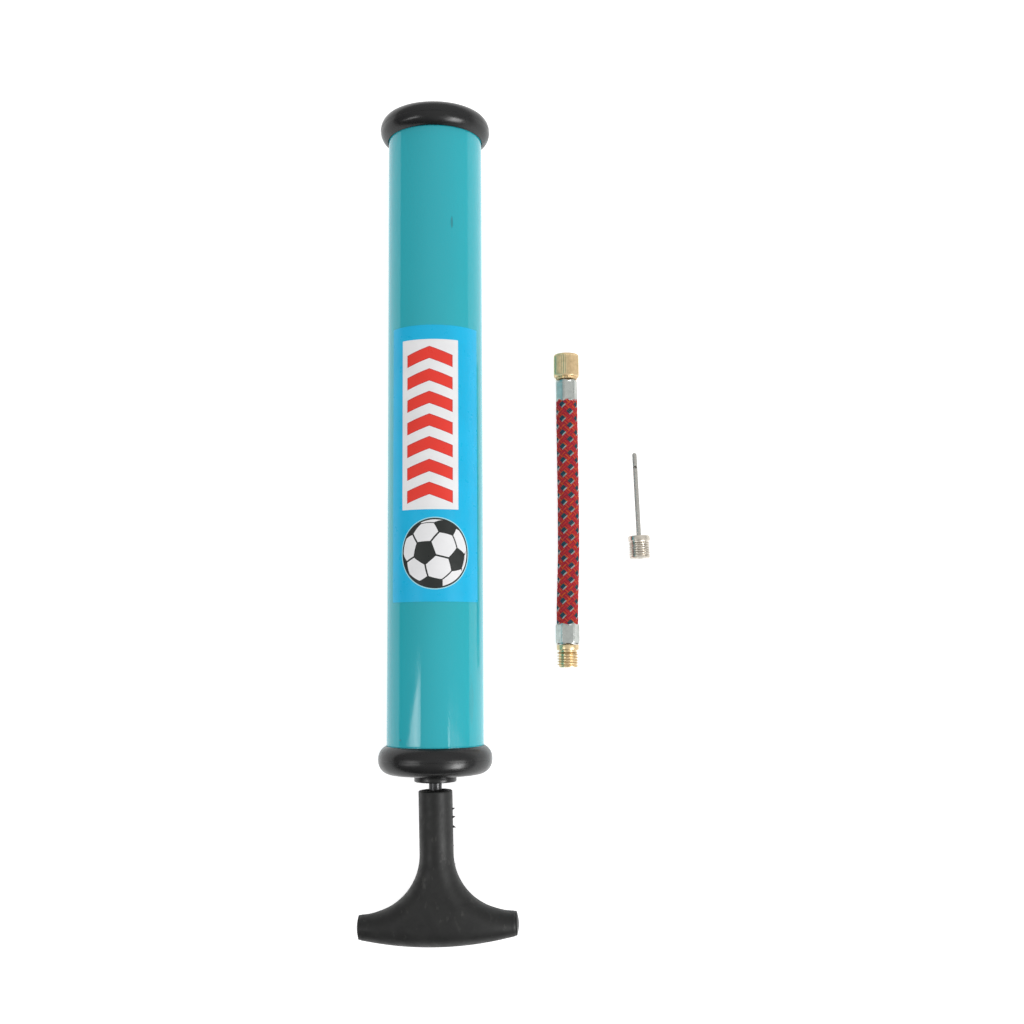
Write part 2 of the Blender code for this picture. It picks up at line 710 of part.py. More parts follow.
def build_nut_end(nut_axis):
    """The hose's end with the nut. Its parent's Z runs away from the hose, from the end of the braid."""
    build_ferrule("nut_end_ferrule", FERRULE_R, FERRULE, nut_axis)
    flange_r = SOCKET_R - STEM_FLANGE_GAP
    stem = [
        (flange_r, STEM_END),
        (flange_r, STEM_FLANGE_START),
        (STEM_R, STEM_FLANGE_START),
        (STEM_R, STEM_START),
        (STEM_BORE_R, STEM_START),
        (STEM_BORE_R, STEM_END),
    ]
    turned("nut_end_stem", stem, nut_axis, "brass", ROUND_SEGMENTS)
    seat = disc_profile(SOCKET_R - SEAT_GAP, SEAT_WASHER_BORE_R, SEAT_WASHER)
    turned("nut_seat_washer", seat, nut_axis, "black_rubber", ROUND_SEGMENTS, STEM_END + SEAT_GAP)
    nut = [
        (SWIVEL_NUT_R, SWIVEL_NUT),
        (SWIVEL_NUT_R, SWIVEL_NUT_CHAMFER),
        (SWIVEL_NUT_R - 0.5 * SWIVEL_NUT_CHAMFER, 0.0),
        (STEM_SEAT_R, 0.0),
        (STEM_SEAT_R, SWIVEL_NUT_END_WALL),
        (SOCKET_R, SWIVEL_NUT_END_WALL),
        (SOCKET_R, SWIVEL_NUT),
    ]
    turned("knurled_nut", nut, nut_axis, "brass", ROUND_SEGMENTS, SWIVEL_NUT_START)


def build_outlet_end(fitting_axis):
    """The hose's end that screws into the pump. Its parent's Z runs away from the hose."""
    build_ferrule("outlet_end_ferrule", OUTLET_FERRULE_R, OUTLET_FERRULE, fitting_axis)
    collar_r = THREAD_R + FITTING_COLLAR_STEP
    neck_r = THREAD_R - FITTING_NECK_STEP
    fitting = [
        (THREAD_R - FITTING_EDGE, FITTING_TIP),
        (THREAD_R, FITTING_TIP - FITTING_EDGE),
        (THREAD_R, FITTING_THREAD_START),
        (neck_r, FITTING_THREAD_START),
        (neck_r, FITTING_NECK_START),
        (collar_r, FITTING_NECK_START),
        (collar_r, COLLAR_FACE),
        (STEM_R, COLLAR_FACE),
        (STEM_R, STEM_START),
        (STEM_BORE_R, STEM_START),
        (STEM_BORE_R, FITTING_TIP),
    ]
    turned("outlet_end_fitting", fitting, fitting_axis, "brass", ROUND_SEGMENTS)


# Needle


def build_needle(needle_axis):
    """The threaded hub and its thin tube. Their parent's Z runs from the hub's threaded end to the tip."""
    seat_r = NEEDLE_R + SMALL_GAP
    flange = HUB_LENGTH - HUB_FLANGE
    hub = [
        (HUB_FLANGE_R - HUB_EDGE, HUB_LENGTH),
        (HUB_FLANGE_R, HUB_LENGTH - HUB_EDGE),
        (HUB_FLANGE_R, flange),
        (THREAD_R, flange),
        (THREAD_R, HUB_EDGE),
        (THREAD_R - HUB_EDGE, 0.0),
        (seat_r, 0.0),
        (seat_r, HUB_LENGTH),
    ]
    turned("needle_hub", hub, needle_axis, "nickel_hub", ROUND_SEGMENTS)

    tip = HUB_LENGTH + NEEDLE_SHOWN
    bore_r = NEEDLE_R - NEEDLE_WALL
    nose = arc(0.0, tip - NEEDLE_R, NEEDLE_R, 90.0, 0.0, NEEDLE_TIP_STEPS)
    nose[0] = (0.0, tip)
    tube = nose + [
        (NEEDLE_R, HUB_SEAT),
        (bore_r, HUB_SEAT),
        (bore_r, tip - NEEDLE_TIP_WALL),
        (0.0, tip - NEEDLE_TIP_WALL),
    ]
    made = turned("needle_tube", tube, needle_axis, "needle_steel", FINE_SEGMENTS)
    hole_at = (0, -NEEDLE_R, tip - NEEDLE_HOLE_FROM_TIP)
    across = (0.5 * math.pi, 0, 0)
    cut(made, cutter_cylinder("needle_hole", NEEDLE_HOLE_R, 2 * NEEDLE_R, needle_axis, hole_at, across))


def build_all():
    lying = (-0.5 * math.pi, 0, 0)
    facing_back = (0.5 * math.pi, 0, 0)
    pump = make_empty("pump_axis", (AXIS_X, STATION_0, AXIS_HEIGHT), lying)
    build_barrel(pump)
    build_handle_cap(pump)
    build_outlet_cap(pump)
    build_rod_guide(pump)
    build_outlet_bush(pump)

    ball_at = (AXIS_X, STATION_0 + TUBE_SHOWN + BALL_CENTRE, AXIS_HEIGHT)
    valve_axis = make_empty("valve_axis", ball_at, lying)
    build_valve(pump, valve_axis)

    plunger = make_empty("plunger_axis", (AXIS_X, STATION_0, AXIS_HEIGHT), lying)
    build_piston(plunger)
    build_rod(plunger)
    handle_at = (AXIS_X, STATION_0 + NECK_STATION, AXIS_HEIGHT)
    handle_axis = make_empty("handle_axis", handle_at, lying)
    build_handle(handle_axis)

    hose_root = make_empty("hose_root", (AXIS_X, STATION_0, 0), (0, 0, 0))
    build_hose(hose_root)
    origin = Vector((AXIS_X, STATION_0, 0))
    first = origin + Vector(HOSE_ROUTE_MM[0]) * MM
    last = origin + Vector(HOSE_ROUTE_MM[-1]) * MM
    build_nut_end(make_empty("nut_axis", first, lying))
    build_outlet_end(make_empty("fitting_axis", last, facing_back))

    needle_middle = Vector((AXIS_X + NEEDLE_X, STATION_0 + NEEDLE_STATION, HUB_FLANGE_R))
    turn = Matrix.Rotation(NEEDLE_TURN, 3, "Z")
    needle_start = needle_middle + turn @ Vector((0, -0.5 * HUB_LENGTH, 0))
    needle_turned = (-0.5 * math.pi, 0, NEEDLE_TURN)
    build_needle(make_empty("needle_axis", needle_start, needle_turned))


clear_scene()
PARTS = new_collection("ball_inflation_pump")
CUTTERS = new_collection("cutters")
build_all()
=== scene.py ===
"""Looks of the ball inflation pump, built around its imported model.

Each piece is made in a frame of its own, with Z along its axis and -Y up, and set in its place by its matrix.
Lengths are written in millimetres times MM, and angles round an axis are measured from the top towards +X.
"""

import math

import bmesh
import bpy
import numpy as np
from mathutils import Matrix, Vector


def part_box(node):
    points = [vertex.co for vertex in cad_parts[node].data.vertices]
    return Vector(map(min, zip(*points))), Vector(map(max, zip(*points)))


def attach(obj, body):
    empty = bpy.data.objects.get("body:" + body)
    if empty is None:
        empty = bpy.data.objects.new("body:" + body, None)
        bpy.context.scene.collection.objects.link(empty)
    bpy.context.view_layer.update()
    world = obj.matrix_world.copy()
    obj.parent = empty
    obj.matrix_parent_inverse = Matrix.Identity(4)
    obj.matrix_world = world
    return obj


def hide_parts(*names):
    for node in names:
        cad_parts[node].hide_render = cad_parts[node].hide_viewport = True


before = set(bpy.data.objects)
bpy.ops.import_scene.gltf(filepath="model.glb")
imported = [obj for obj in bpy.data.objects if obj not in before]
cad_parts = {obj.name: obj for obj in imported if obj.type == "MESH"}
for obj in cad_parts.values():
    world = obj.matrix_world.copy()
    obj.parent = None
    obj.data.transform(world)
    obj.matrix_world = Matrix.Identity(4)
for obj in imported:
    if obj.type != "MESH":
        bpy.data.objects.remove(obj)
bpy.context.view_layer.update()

MM = 0.001
TAU = 2 * math.pi

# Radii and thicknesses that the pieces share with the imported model
TUBE_R = 17.0 * MM
TUBE_WALL = 0.8 * MM
TUBE_SEAT = 7.0 * MM
CAP_R = 19.9 * MM
CAP_LAND = 0.8 * MM
FIT_GAP = 0.3 * MM
THREAD_R = 3.9 * MM
SOCKET_R = 4.05 * MM
ROD_R = 2.25 * MM
HOSE_R = 4.0 * MM
STEM_R = 2.0 * MM
NEEDLE_R = 0.88 * MM

SMOOTH_ANGLE = math.radians(38)


def middle(node):
    low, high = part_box(node)
    return (low + high) / 2


AXIS_X = middle("barrel_tube").x
AXIS_HEIGHT = middle("barrel_tube").z
STATION_0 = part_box("barrel_tube")[0].y + TUBE_SEAT
TUBE_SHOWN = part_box("barrel_tube")[1].y - TUBE_SEAT - STATION_0
LYING = Matrix.Rotation(-0.5 * math.pi, 4, "X")
FACING_BACK = Matrix.Rotation(0.5 * math.pi, 4, "X")


def on_pump(station):
    """The frame of a piece on the pump's axis, with Z towards the outlet."""
    return Matrix.Translation((AXIS_X, STATION_0 + station, AXIS_HEIGHT)) @ LYING


def station_of(node, end):
    """Where a node starts (end 0) or stops (end 1) along the pump."""
    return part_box(node)[end].y - STATION_0


# Materials


class Look:
    """One procedural material, with short calls that add nodes and give back their outputs."""

    def __init__(self, name, colour, roughness, metallic=0.0, ior=1.47):
        self.material = bpy.data.materials.new(name)
        self.material.use_nodes = True
        self.tree = self.material.node_tree
        self.shader = self.tree.nodes["Principled BSDF"]
        self.put("Base Color", (*colour, 1.0))
        self.put("Roughness", roughness)
        self.put("Metallic", metallic)
        self.put("IOR", ior)
        self.coords = self.tree.nodes.new("ShaderNodeTexCoord").outputs["Object"]

    def put(self, socket, value):
        self.feed(self.shader.inputs[socket], value)

    def feed(self, socket, value):
        if isinstance(value, bpy.types.NodeSocket):
            self.tree.links.new(value, socket)
        else:
            socket.default_value = value

    def calc(self, operation, a, b=0.0):
        made = self.tree.nodes.new("ShaderNodeMath")
        made.operation = operation
        self.feed(made.inputs[0], a)
        self.feed(made.inputs[1], b)
        return made.outputs[0]

    def vector(self, operation, a, b):
        made = self.tree.nodes.new("ShaderNodeVectorMath")
        made.operation = operation
        self.feed(made.inputs[0], a)
        self.feed(made.inputs[1], b)
        return made.outputs["Value" if operation == "LENGTH" else "Vector"]

    def noise(self, size, detail=4.0, roughness=0.55, stretch=(1.0, 1.0, 1.0), distortion=0.0):
        """Noise from 0 to 1 with features about size across, longer along an axis with a higher stretch."""
        scaled = self.vector("MULTIPLY", self.coords, tuple(1.0 / (size * s) for s in stretch))
        made = self.tree.nodes.new("ShaderNodeTexNoise")
        self.feed(made.inputs["Vector"], scaled)
        made.inputs["Scale"].default_value = 1.0
        made.inputs["Detail"].default_value = detail
        made.inputs["Roughness"].default_value = roughness
        made.inputs["Distortion"].default_value = distortion
        return made.outputs[0]

    def level(self, value, low, high, to_low=0.0, to_high=1.0):
        made = self.tree.nodes.new("ShaderNodeMapRange")
        numbers = (value, low, high, to_low, to_high)
        for socket, number in zip(made.inputs, numbers):
            self.feed(socket, number)
        return made.outputs[0]

    def mix(self, factor, a, b):
        made = self.tree.nodes.new("ShaderNodeMix")
        made.data_type = "RGBA"
        self.feed(made.inputs[0], factor)
        self.feed(made.inputs[6], a if isinstance(a, bpy.types.NodeSocket) else (*a, 1.0))
        self.feed(made.inputs[7], b if isinstance(b, bpy.types.NodeSocket) else (*b, 1.0))
        return made.outputs[2]

    def along(self, axis):
        split = self.tree.nodes.new("ShaderNodeSeparateXYZ")
        self.feed(split.inputs[0], self.coords)
        return split.outputs["XYZ".index(axis)]

    def bump(self, height, depth, strength=1.0, over=None):
        made = self.tree.nodes.new("ShaderNodeBump")
        made.inputs["Strength"].default_value = strength
        made.inputs["Distance"].default_value = depth
        self.feed(made.inputs["Height"], height)
        if over is not None:
            self.feed(made.inputs["Normal"], over)
        return made.outputs[0]

    def spot(self, centre, half_size, ragged):
        """1 inside a ragged ellipsoid and 0 outside it."""
        offset = self.vector("SUBTRACT", self.coords, centre)
        scaled = self.vector("MULTIPLY", offset, tuple(1.0 / h for h in half_size))
        distance = self.vector("LENGTH", scaled, (0, 0, 0))
        noisy = self.calc("ADD", distance, self.calc("MULTIPLY", self.noise(ragged), 0.9))
        return self.level(noisy, 1.1, 1.4, 1.0, 0.0)


def shade_of(colour, factor):
    return tuple(c * factor for c in colour)


def round_place(radius, angle_deg, station):
    """A point on a round piece, in the piece's own frame."""
    angle = math.radians(angle_deg)
    return (radius * math.sin(angle), -radius * math.cos(angle), station)


def enamel_look():
    """Gloss enamel on rolled steel: even colour, faint orange peel, hair scratches and two scuffs."""
    colour = (0.018, 0.445, 0.525)
    look = Look("teal_enamel", colour, 0.09, ior=1.45)
    tone = look.level(look.noise(30 * MM, 2.0, stretch=(1, 1, 3)), 0.3, 0.7)
    body = look.mix(tone, shade_of(colour, 0.95), shade_of(colour, 1.04))
    high_scuff = look.spot(round_place(TUBE_R, 23.7, 183.3 * MM), (0.5 * MM, 0.6 * MM, 2.6 * MM), 1.6 * MM)
    low_scuff = look.spot(round_place(TUBE_R, -41.0, 2.6 * MM), (1.1 * MM, 0.5 * MM, 0.35 * MM), 0.7 * MM)
    scuffs = look.calc("MAXIMUM", high_scuff, low_scuff)
    smudge = look.spot(round_place(TUBE_R, 50.0, 16.0 * MM), (1.0 * MM, 2.5 * MM, 9.0 * MM), 3.0 * MM)
    body = look.mix(look.calc("MULTIPLY", smudge, 0.25), body, (0.05, 0.30, 0.34))
    look.put("Base Color", look.mix(look.calc("MULTIPLY", scuffs, 0.5), body, (0.012, 0.11, 0.14)))
    scratches = look.level(look.noise(0.5 * MM, 2.0, stretch=(1, 1, 60)), 0.62, 0.72)
    wear = look.level(look.noise(14 * MM, 5.0), 0.35, 0.8, 0.05, 0.12)
    wear = look.calc("ADD", wear, look.calc("MULTIPLY", scratches, 0.06))
    look.put("Roughness", look.calc("ADD", wear, look.calc("MULTIPLY", scuffs, 0.3)))
    peel = look.bump(look.noise(1.6 * MM, 1.0), 0.004 * MM)
    look.put("Normal", look.bump(scratches, -0.004 * MM, over=peel))
    return look.material


def print_look(name, colour, roughness=0.3):
    """Ink or film on the sticker, with slight mottling and a few hair scratches."""
    look = Look(name, colour, roughness, ior=1.36)
    tone = look.level(look.noise(9 * MM, 3.0), 0.3, 0.7)
    look.put("Base Color", look.mix(tone, shade_of(colour, 0.96), shade_of(colour, 1.03)))
    grain = look.level(look.noise(3 * MM, 5.0), 0.3, 0.75, roughness - 0.07, roughness + 0.08)
    look.put("Roughness", grain)
    wave = look.bump(look.noise(5 * MM, 2.0), 0.01 * MM)
    look.put("Normal", look.bump(look.noise(0.3 * MM, 2.0), 0.001 * MM, over=wave))
    return look.material


def black_plastic_look(name, colour, roughness, grain=0.002 * MM):
    """Moulded gloss plastic: flow marks, handling haze and fine scratches round it."""
    look = Look(name, colour, roughness, ior=1.44)
    haze = look.level(look.noise(6 * MM, 5.0, 0.6), 0.35, 0.7, roughness - 0.06, roughness + 0.1)
    scratches = look.level(look.noise(0.4 * MM, 2.0, stretch=(12, 12, 1)), 0.64, 0.74)
    look.put("Roughness", look.calc("ADD", haze, look.calc("MULTIPLY", scratches, 0.12)))
    dust = look.level(look.noise(0.7 * MM, 3.0), 0.70, 0.82, 0.0, 0.5)
    look.put("Base Color", look.mix(dust, colour, shade_of(colour, 3.0)))
    flow = look.bump(look.noise(4 * MM, 2.0), 0.02 * MM)
    fine = look.bump(look.noise(0.25 * MM, 2.0), grain, over=flow)
    look.put("Normal", look.bump(scratches, -0.003 * MM, over=fine))
    return look.material


def handle_look():
    """Matte moulded plastic with pale handling marks, cloudy flow marks and a fine grain."""
    colour = (0.0065, 0.0068, 0.0063)
    look = Look("charcoal_plastic", colour, 0.5, ior=1.39)
    cloud = look.level(look.noise(7 * MM, 5.0, 0.62, distortion=0.6), 0.38, 0.68)
    rubbed = look.level(look.noise(2.2 * MM, 4.0, 0.6, stretch=(1, 1, 2)), 0.60, 0.75)
    tone = look.mix(cloud, shade_of(colour, 0.7), shade_of(colour, 1.9))
    look.put("Base Color", look.mix(look.calc("MULTIPLY", rubbed, 0.4), tone, (0.075, 0.074, 0.068)))
    look.put("Roughness", look.level(look.noise(3 * MM, 4.0), 0.3, 0.7, 0.42, 0.60))
    flow = look.bump(look.noise(5 * MM, 3.0, 0.6), 0.05 * MM)
    look.put("Normal", look.bump(look.noise(0.35 * MM, 3.0), 0.012 * MM, over=flow))
    return look.material


def rod_look():
    """Blackened steel, polished by the guide bush into faint bright lines along it."""
    colour = (0.035, 0.035, 0.037)
    look = Look("blackened_steel", colour, 0.3, metallic=0.7)
    lines = look.level(look.noise(0.3 * MM, 3.0, stretch=(1, 1, 50)), 0.5, 0.75)
    look.put("Base Color", look.mix(lines, colour, (0.12, 0.12, 0.12)))
    look.put("Roughness", look.level(look.noise(2 * MM, 4.0), 0.3, 0.7, 0.22, 0.38))
    look.put("Normal", look.bump(lines, 0.003 * MM))
    return look.material


def rubber_look():
    colour = (0.020, 0.020, 0.021)
    look = Look("black_rubber", colour, 0.7, ior=1.5)
    bloom = look.level(look.noise(2.5 * MM, 5.0, 0.6), 0.45, 0.75)
    look.put("Base Color", look.mix(bloom, colour, (0.05, 0.05, 0.05)))
    look.put("Roughness", look.level(look.noise(1.5 * MM, 3.0), 0.3, 0.7, 0.6, 0.8))
    look.put("Normal", look.bump(look.noise(0.2 * MM, 3.0), 0.01 * MM))
    return look.material


def metal_look(name, colour, dark, roughness, tarnish_size=1.6 * MM, lines=0.25 * MM):
    """Turned or plated metal: fine tool lines round it, patches of tarnish and small pits."""
    look = Look(name, colour, roughness, metallic=1.0)
    patches = look.level(look.noise(tarnish_size, 5.0, 0.6), 0.42, 0.72)
    pits = look.level(look.noise(0.35 * MM, 2.0), 0.70, 0.80)
    tone = look.mix(look.calc("MULTIPLY", patches, 0.55), colour, dark)
    look.put("Base Color", look.mix(look.calc("MULTIPLY", pits, 0.6), tone, shade_of(dark, 0.4)))
    rough = look.level(look.noise(tarnish_size, 4.0), 0.3, 0.7, roughness - 0.05, roughness + 0.12)
    look.put("Roughness", look.calc("ADD", rough, look.calc("MULTIPLY", pits, 0.2)))
    tool = look.bump(look.noise(lines, 2.0, stretch=(20, 20, 1)), 0.003 * MM)
    look.put("Normal", look.bump(pits, -0.01 * MM, over=tool))
    return look.material


def yarn_look(name, colour, other, fuzz=0.35):
    """Polyester yarn: the colour drifts along it, and its filaments show as fine grain."""
    look = Look(name, colour, 0.65, ior=1.3)
    drift = look.level(look.noise(1.7 * MM, 3.0, 0.6), 0.38, 0.64)
    tone = look.mix(drift, colour, other)
    fibres = look.level(look.noise(0.16 * MM, 2.0), 0.3, 0.7)
    look.put("Base Color", look.mix(look.calc("MULTIPLY", fibres, fuzz), tone, shade_of(colour, 0.45)))
    look.put("Sheen Weight", 0.08)
    look.put("Sheen Roughness", 0.4)
    look.put("Normal", look.bump(fibres, 0.05 * MM, 0.8))
    return look.material


def white_plastic_look():
    colour = (0.74, 0.74, 0.71)
    look = Look("white_plastic", colour, 0.45, ior=1.5)
    tone = look.level(look.noise(5 * MM, 3.0), 0.3, 0.7)
    look.put("Base Color", look.mix(tone, shade_of(colour, 0.93), colour))
    look.put("Roughness", look.level(look.noise(1.5 * MM, 4.0), 0.3, 0.7, 0.38, 0.55))
    look.put("Normal", look.bump(look.noise(0.4 * MM, 2.0), 0.006 * MM))
    return look.material


# Shapes


def add_object(name, mesh, matrix=None):
    made = bpy.data.objects.new(name, mesh)
    bpy.context.scene.collection.objects.link(made)
    if matrix is not None:
        made.matrix_world = matrix
    return made


def mesh_from(name, points, faces, materials, closed=True):
    mesh = bpy.data.meshes.new(name)
    mesh.from_pydata([tuple(p) for p in points], [], faces)
    if closed:
        shape = bmesh.new()
        shape.from_mesh(mesh)
        bmesh.ops.recalc_face_normals(shape, faces=shape.faces)
        shape.to_mesh(mesh)
        shape.free()
    for material in materials:
        mesh.materials.append(material)
    mesh.shade_smooth()
    mesh.set_sharp_from_angle(angle=SMOOTH_ANGLE)
    return mesh


def arc(centre_r, centre_z, radius, start, end, steps):
    """Points (r, z) along a round stretch of a profile, the angles in degrees from +r towards +z."""
    points = []
    for i in range(steps + 1):
        angle = math.radians(start + (end - start) * i / steps)
        points.append((centre_r + radius * math.cos(angle), centre_z + radius * math.sin(angle)))
    return points


def run(r0, z0, r1, z1, steps):
    """Points along a straight stretch of a profile, both ends included."""
    return [(r0 + (r1 - r0) * i / steps, z0 + (z1 - z0) * i / steps) for i in range(steps + 1)]


def turned_shape(profile, segments, shape=None):
    """Points and faces of a solid turned from a closed outline. shape(r, z, angle) may move its points."""
    around = np.arange(segments) * TAU / segments
    points, rings = [], []
    for r, z in profile:
        if r == 0.0:
            rings.append([len(points)])
            points.append((0.0, 0.0, z))
            continue
        radii, heights = np.full(segments, r), np.full(segments, z)
        if shape is not None:
            radii, heights = shape(radii, heights, around)
        rings.append(list(range(len(points), len(points) + segments)))
        points += zip(radii * np.sin(around), -radii * np.cos(around), heights)
    faces = []
    for upper, lower in zip(rings, rings[1:] + rings[:1]):
        if len(upper) == 1 and len(lower) == 1:
            continue
        for i in range(segments):
            j = (i + 1) % segments
            corners = [upper[i % len(upper)], upper[j % len(upper)]]
            corners += [lower[j % len(lower)], lower[i % len(lower)]]
            faces.append(tuple(dict.fromkeys(corners)))
    return points, faces


def turned(name, profile, material, matrix, segments=128, shape=None):
    points, faces = turned_shape(profile, segments, shape)
    return add_object(name, mesh_from(name, points, faces, [material]), matrix)


def finished(piece, body, slot, *nodes):
    """Sets the piece on its body and hides the nodes that it stands for. Its slot is not used."""
    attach(piece, body)
    if nodes:
        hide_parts(*nodes)
    return piece


def applied(piece):
    """The piece with its modifiers worked into its mesh."""
    graph = bpy.context.evaluated_depsgraph_get()
    made = bpy.data.meshes.new_from_object(piece.evaluated_get(graph))
    piece.modifiers.clear()
    piece.data = made
    made.set_sharp_from_angle(angle=SMOOTH_ANGLE)
    return piece


def smoothstep(value):
    t = np.clip(value, 0.0, 1.0)
    return t * t * (3 - 2 * t)


def thread_shape(pitch, depth, start, end, inward=False):
    """Moves the points of a turned surface between two heights onto a single-start right-hand thread."""

    def shape(r, z, angle):
        turn = np.mod(z / pitch + angle / TAU, 1.0)
        crest = smoothstep((1.25 - np.abs(2 * turn - 1) * 2.5))
        run_in = smoothstep((z - start) / (0.6 * pitch)) * smoothstep((end - z) / (0.6 * pitch))
        cut_depth = depth * (1 - crest) * run_in
        return (r + cut_depth if inward else r - cut_depth), z

    return shape


# Camera


CAMERA_TIP = math.radians(6.406)
CAMERA_ROLL = math.radians(-0.411)
# Its place, counted from the pump's axis, from station 0 and from the table
CAMERA_PLACE = Vector((27.37, 31.30, 469.85)) * MM
LENS_MM = 44.62
SENSOR_MM = 36.0


def build_camera():
    """Above the table, tipped and rolled a little, at the photograph's viewing angle."""
    flat_right = Vector((1, 0, 0))
    flat_up = Vector((0, math.cos(CAMERA_TIP), math.sin(CAMERA_TIP)))
    right = math.cos(CAMERA_ROLL) * flat_right + math.sin(CAMERA_ROLL) * flat_up
    up = math.cos(CAMERA_ROLL) * flat_up - math.sin(CAMERA_ROLL) * flat_right
    back = right.cross(up)
    data = bpy.data.cameras.new("camera")
    data.sensor_width = SENSOR_MM
    data.lens = LENS_MM
    data.clip_start = 0.01
    made = add_object("camera", data)
    rotation = Matrix((right, up, back)).transposed().to_4x4()
    made.matrix_world = Matrix.Translation(Vector((AXIS_X, STATION_0, 0)) + CAMERA_PLACE) @ rotation
    bpy.context.scene.camera = made


# Braided hose. Each point is (from the pump's axis, station, height) of its centre

HOSE_ROUTE_MM = [
    (48.00, 124.3, 4.65),
    (47.99, 119.0, 4.55),
    (48.05, 113.0, 4.30),
    (48.08, 107.0, 4.10),
    (48.13, 101.0, 4.05),
    (48.16, 95.0, 4.05),
    (48.17, 89.0, 4.05),
    (48.17, 83.0, 4.05),
    (48.14, 77.0, 4.05),
    (48.10, 71.0, 4.05),
    (47.98, 65.0, 4.05),
    (47.78, 59.0, 4.10),
    (47.56, 53.0, 4.20),
    (47.38, 47.5, 4.35),
    (47.35, 42.6, 4.40),
]
BRAID_LEAD = 20.8 * MM
CARRIERS = 8
YARNS = 4
YARN_R = 0.25 * MM
YARN_LIFT = 0.23 * MM
YARN_SIDES = 6
YARN_STEP = 0.33 * MM
CORE_R = 3.1 * MM
BRAID_IN_FERRULE = 0.9 * MM
BRAID_TURN = math.radians(16.0)


def hose_path():
    """The route from the outlet end to the nut end, smoothed through its points, and its length."""
    origin = np.array((AXIS_X, STATION_0, 0.0))
    route = [origin + np.array(p) * MM for p in reversed(HOSE_ROUTE_MM)]
    route = [2 * route[0] - route[1]] + route + [2 * route[-1] - route[-2]]
    points = []
    for a, b, c, d in zip(route, route[1:], route[2:], route[3:]):
        for t in np.linspace(0, 1, 12, endpoint=False):
            curve = 2 * b + (c - a) * t + (2 * a - 5 * b + 4 * c - d) * t**2
            points.append(0.5 * (curve + (3 * b - a - 3 * c + d) * t**3))
    points.append(route[-2])
    return np.array(points)


def path_sampler(path):
    """Gives the places and the side and upward directions at distances along a path, also past its ends."""
    steps = np.linalg.norm(np.diff(path, axis=0), axis=1)
    distance = np.concatenate([[0.0], np.cumsum(steps)])
    tangents = np.gradient(path, distance, axis=0)

    def sample(s):
        inside = np.clip(s, 0.0, distance[-1])
        at = np.stack([np.interp(inside, distance, path[:, k]) for k in range(3)], axis=-1)
        forward = np.stack([np.interp(inside, distance, tangents[:, k]) for k in range(3)], axis=-1)
        forward /= np.linalg.norm(forward, axis=-1, keepdims=True)
        at = at + forward * (s - inside)[..., None]
        side = np.cross(forward, (0.0, 0.0, 1.0))
        side /= np.linalg.norm(side, axis=-1, keepdims=True)
        return at, side, np.cross(side, forward), forward

    return sample, distance[-1]


def tube_along(centres, side, up, radius, sides):
    """Points and faces of a closed tube through the centres."""
    angle = np.arange(sides) * TAU / sides
    offsets = np.sin(angle)[None, :, None] * side[:, None, :] + np.cos(angle)[None, :, None] * up[:, None, :]
    points = (centres[:, None, :] + radius * offsets).reshape(-1, 3)
    count = len(centres)
    faces = []
    for i in range(count - 1):
        for k in range(sides):
            j = (k + 1) % sides
            faces.append((i * sides + k, i * sides + j, (i + 1) * sides + j, (i + 1) * sides + k))
    faces.append(tuple(range(sides))[::-1])
    faces.append(tuple((count - 1) * sides + k for k in range(sides)))
    return points, faces


def yarn_centres(sample, distances, direction, carrier, place):
    """A yarn's line: round the hose in one direction, over and under the carriers of the other one."""
    phase = 2 * CARRIERS * distances / BRAID_LEAD
    turn = TAU * (carrier + place) / CARRIERS + direction * TAU * distances / BRAID_LEAD
    weave = np.clip(1.35 * np.cos(math.pi * (phase + direction * place)), -1.0, 1.0)
    radius = HOSE_R - YARN_R - YARN_LIFT + direction * YARN_LIFT * weave
    angle = turn + BRAID_TURN
    at, side, up, _ = sample(distances)
    return at + radius[:, None] * (np.sin(angle)[:, None] * side + np.cos(angle)[:, None] * up)


def frames_along(centres):
    """Side and upward directions across a line, kept defined where the line runs straight up."""
    tangents = np.gradient(centres, axis=0)
    tangents /= np.linalg.norm(tangents, axis=1, keepdims=True)
    side = np.cross(tangents, (0.0, 0.0, 1.0))
    flat = np.linalg.norm(side, axis=1) < 0.2
    side[flat] = np.cross(tangents[flat], (1.0, 0.0, 0.0))
    side /= np.linalg.norm(side, axis=1, keepdims=True)
    return side, np.cross(side, tangents)


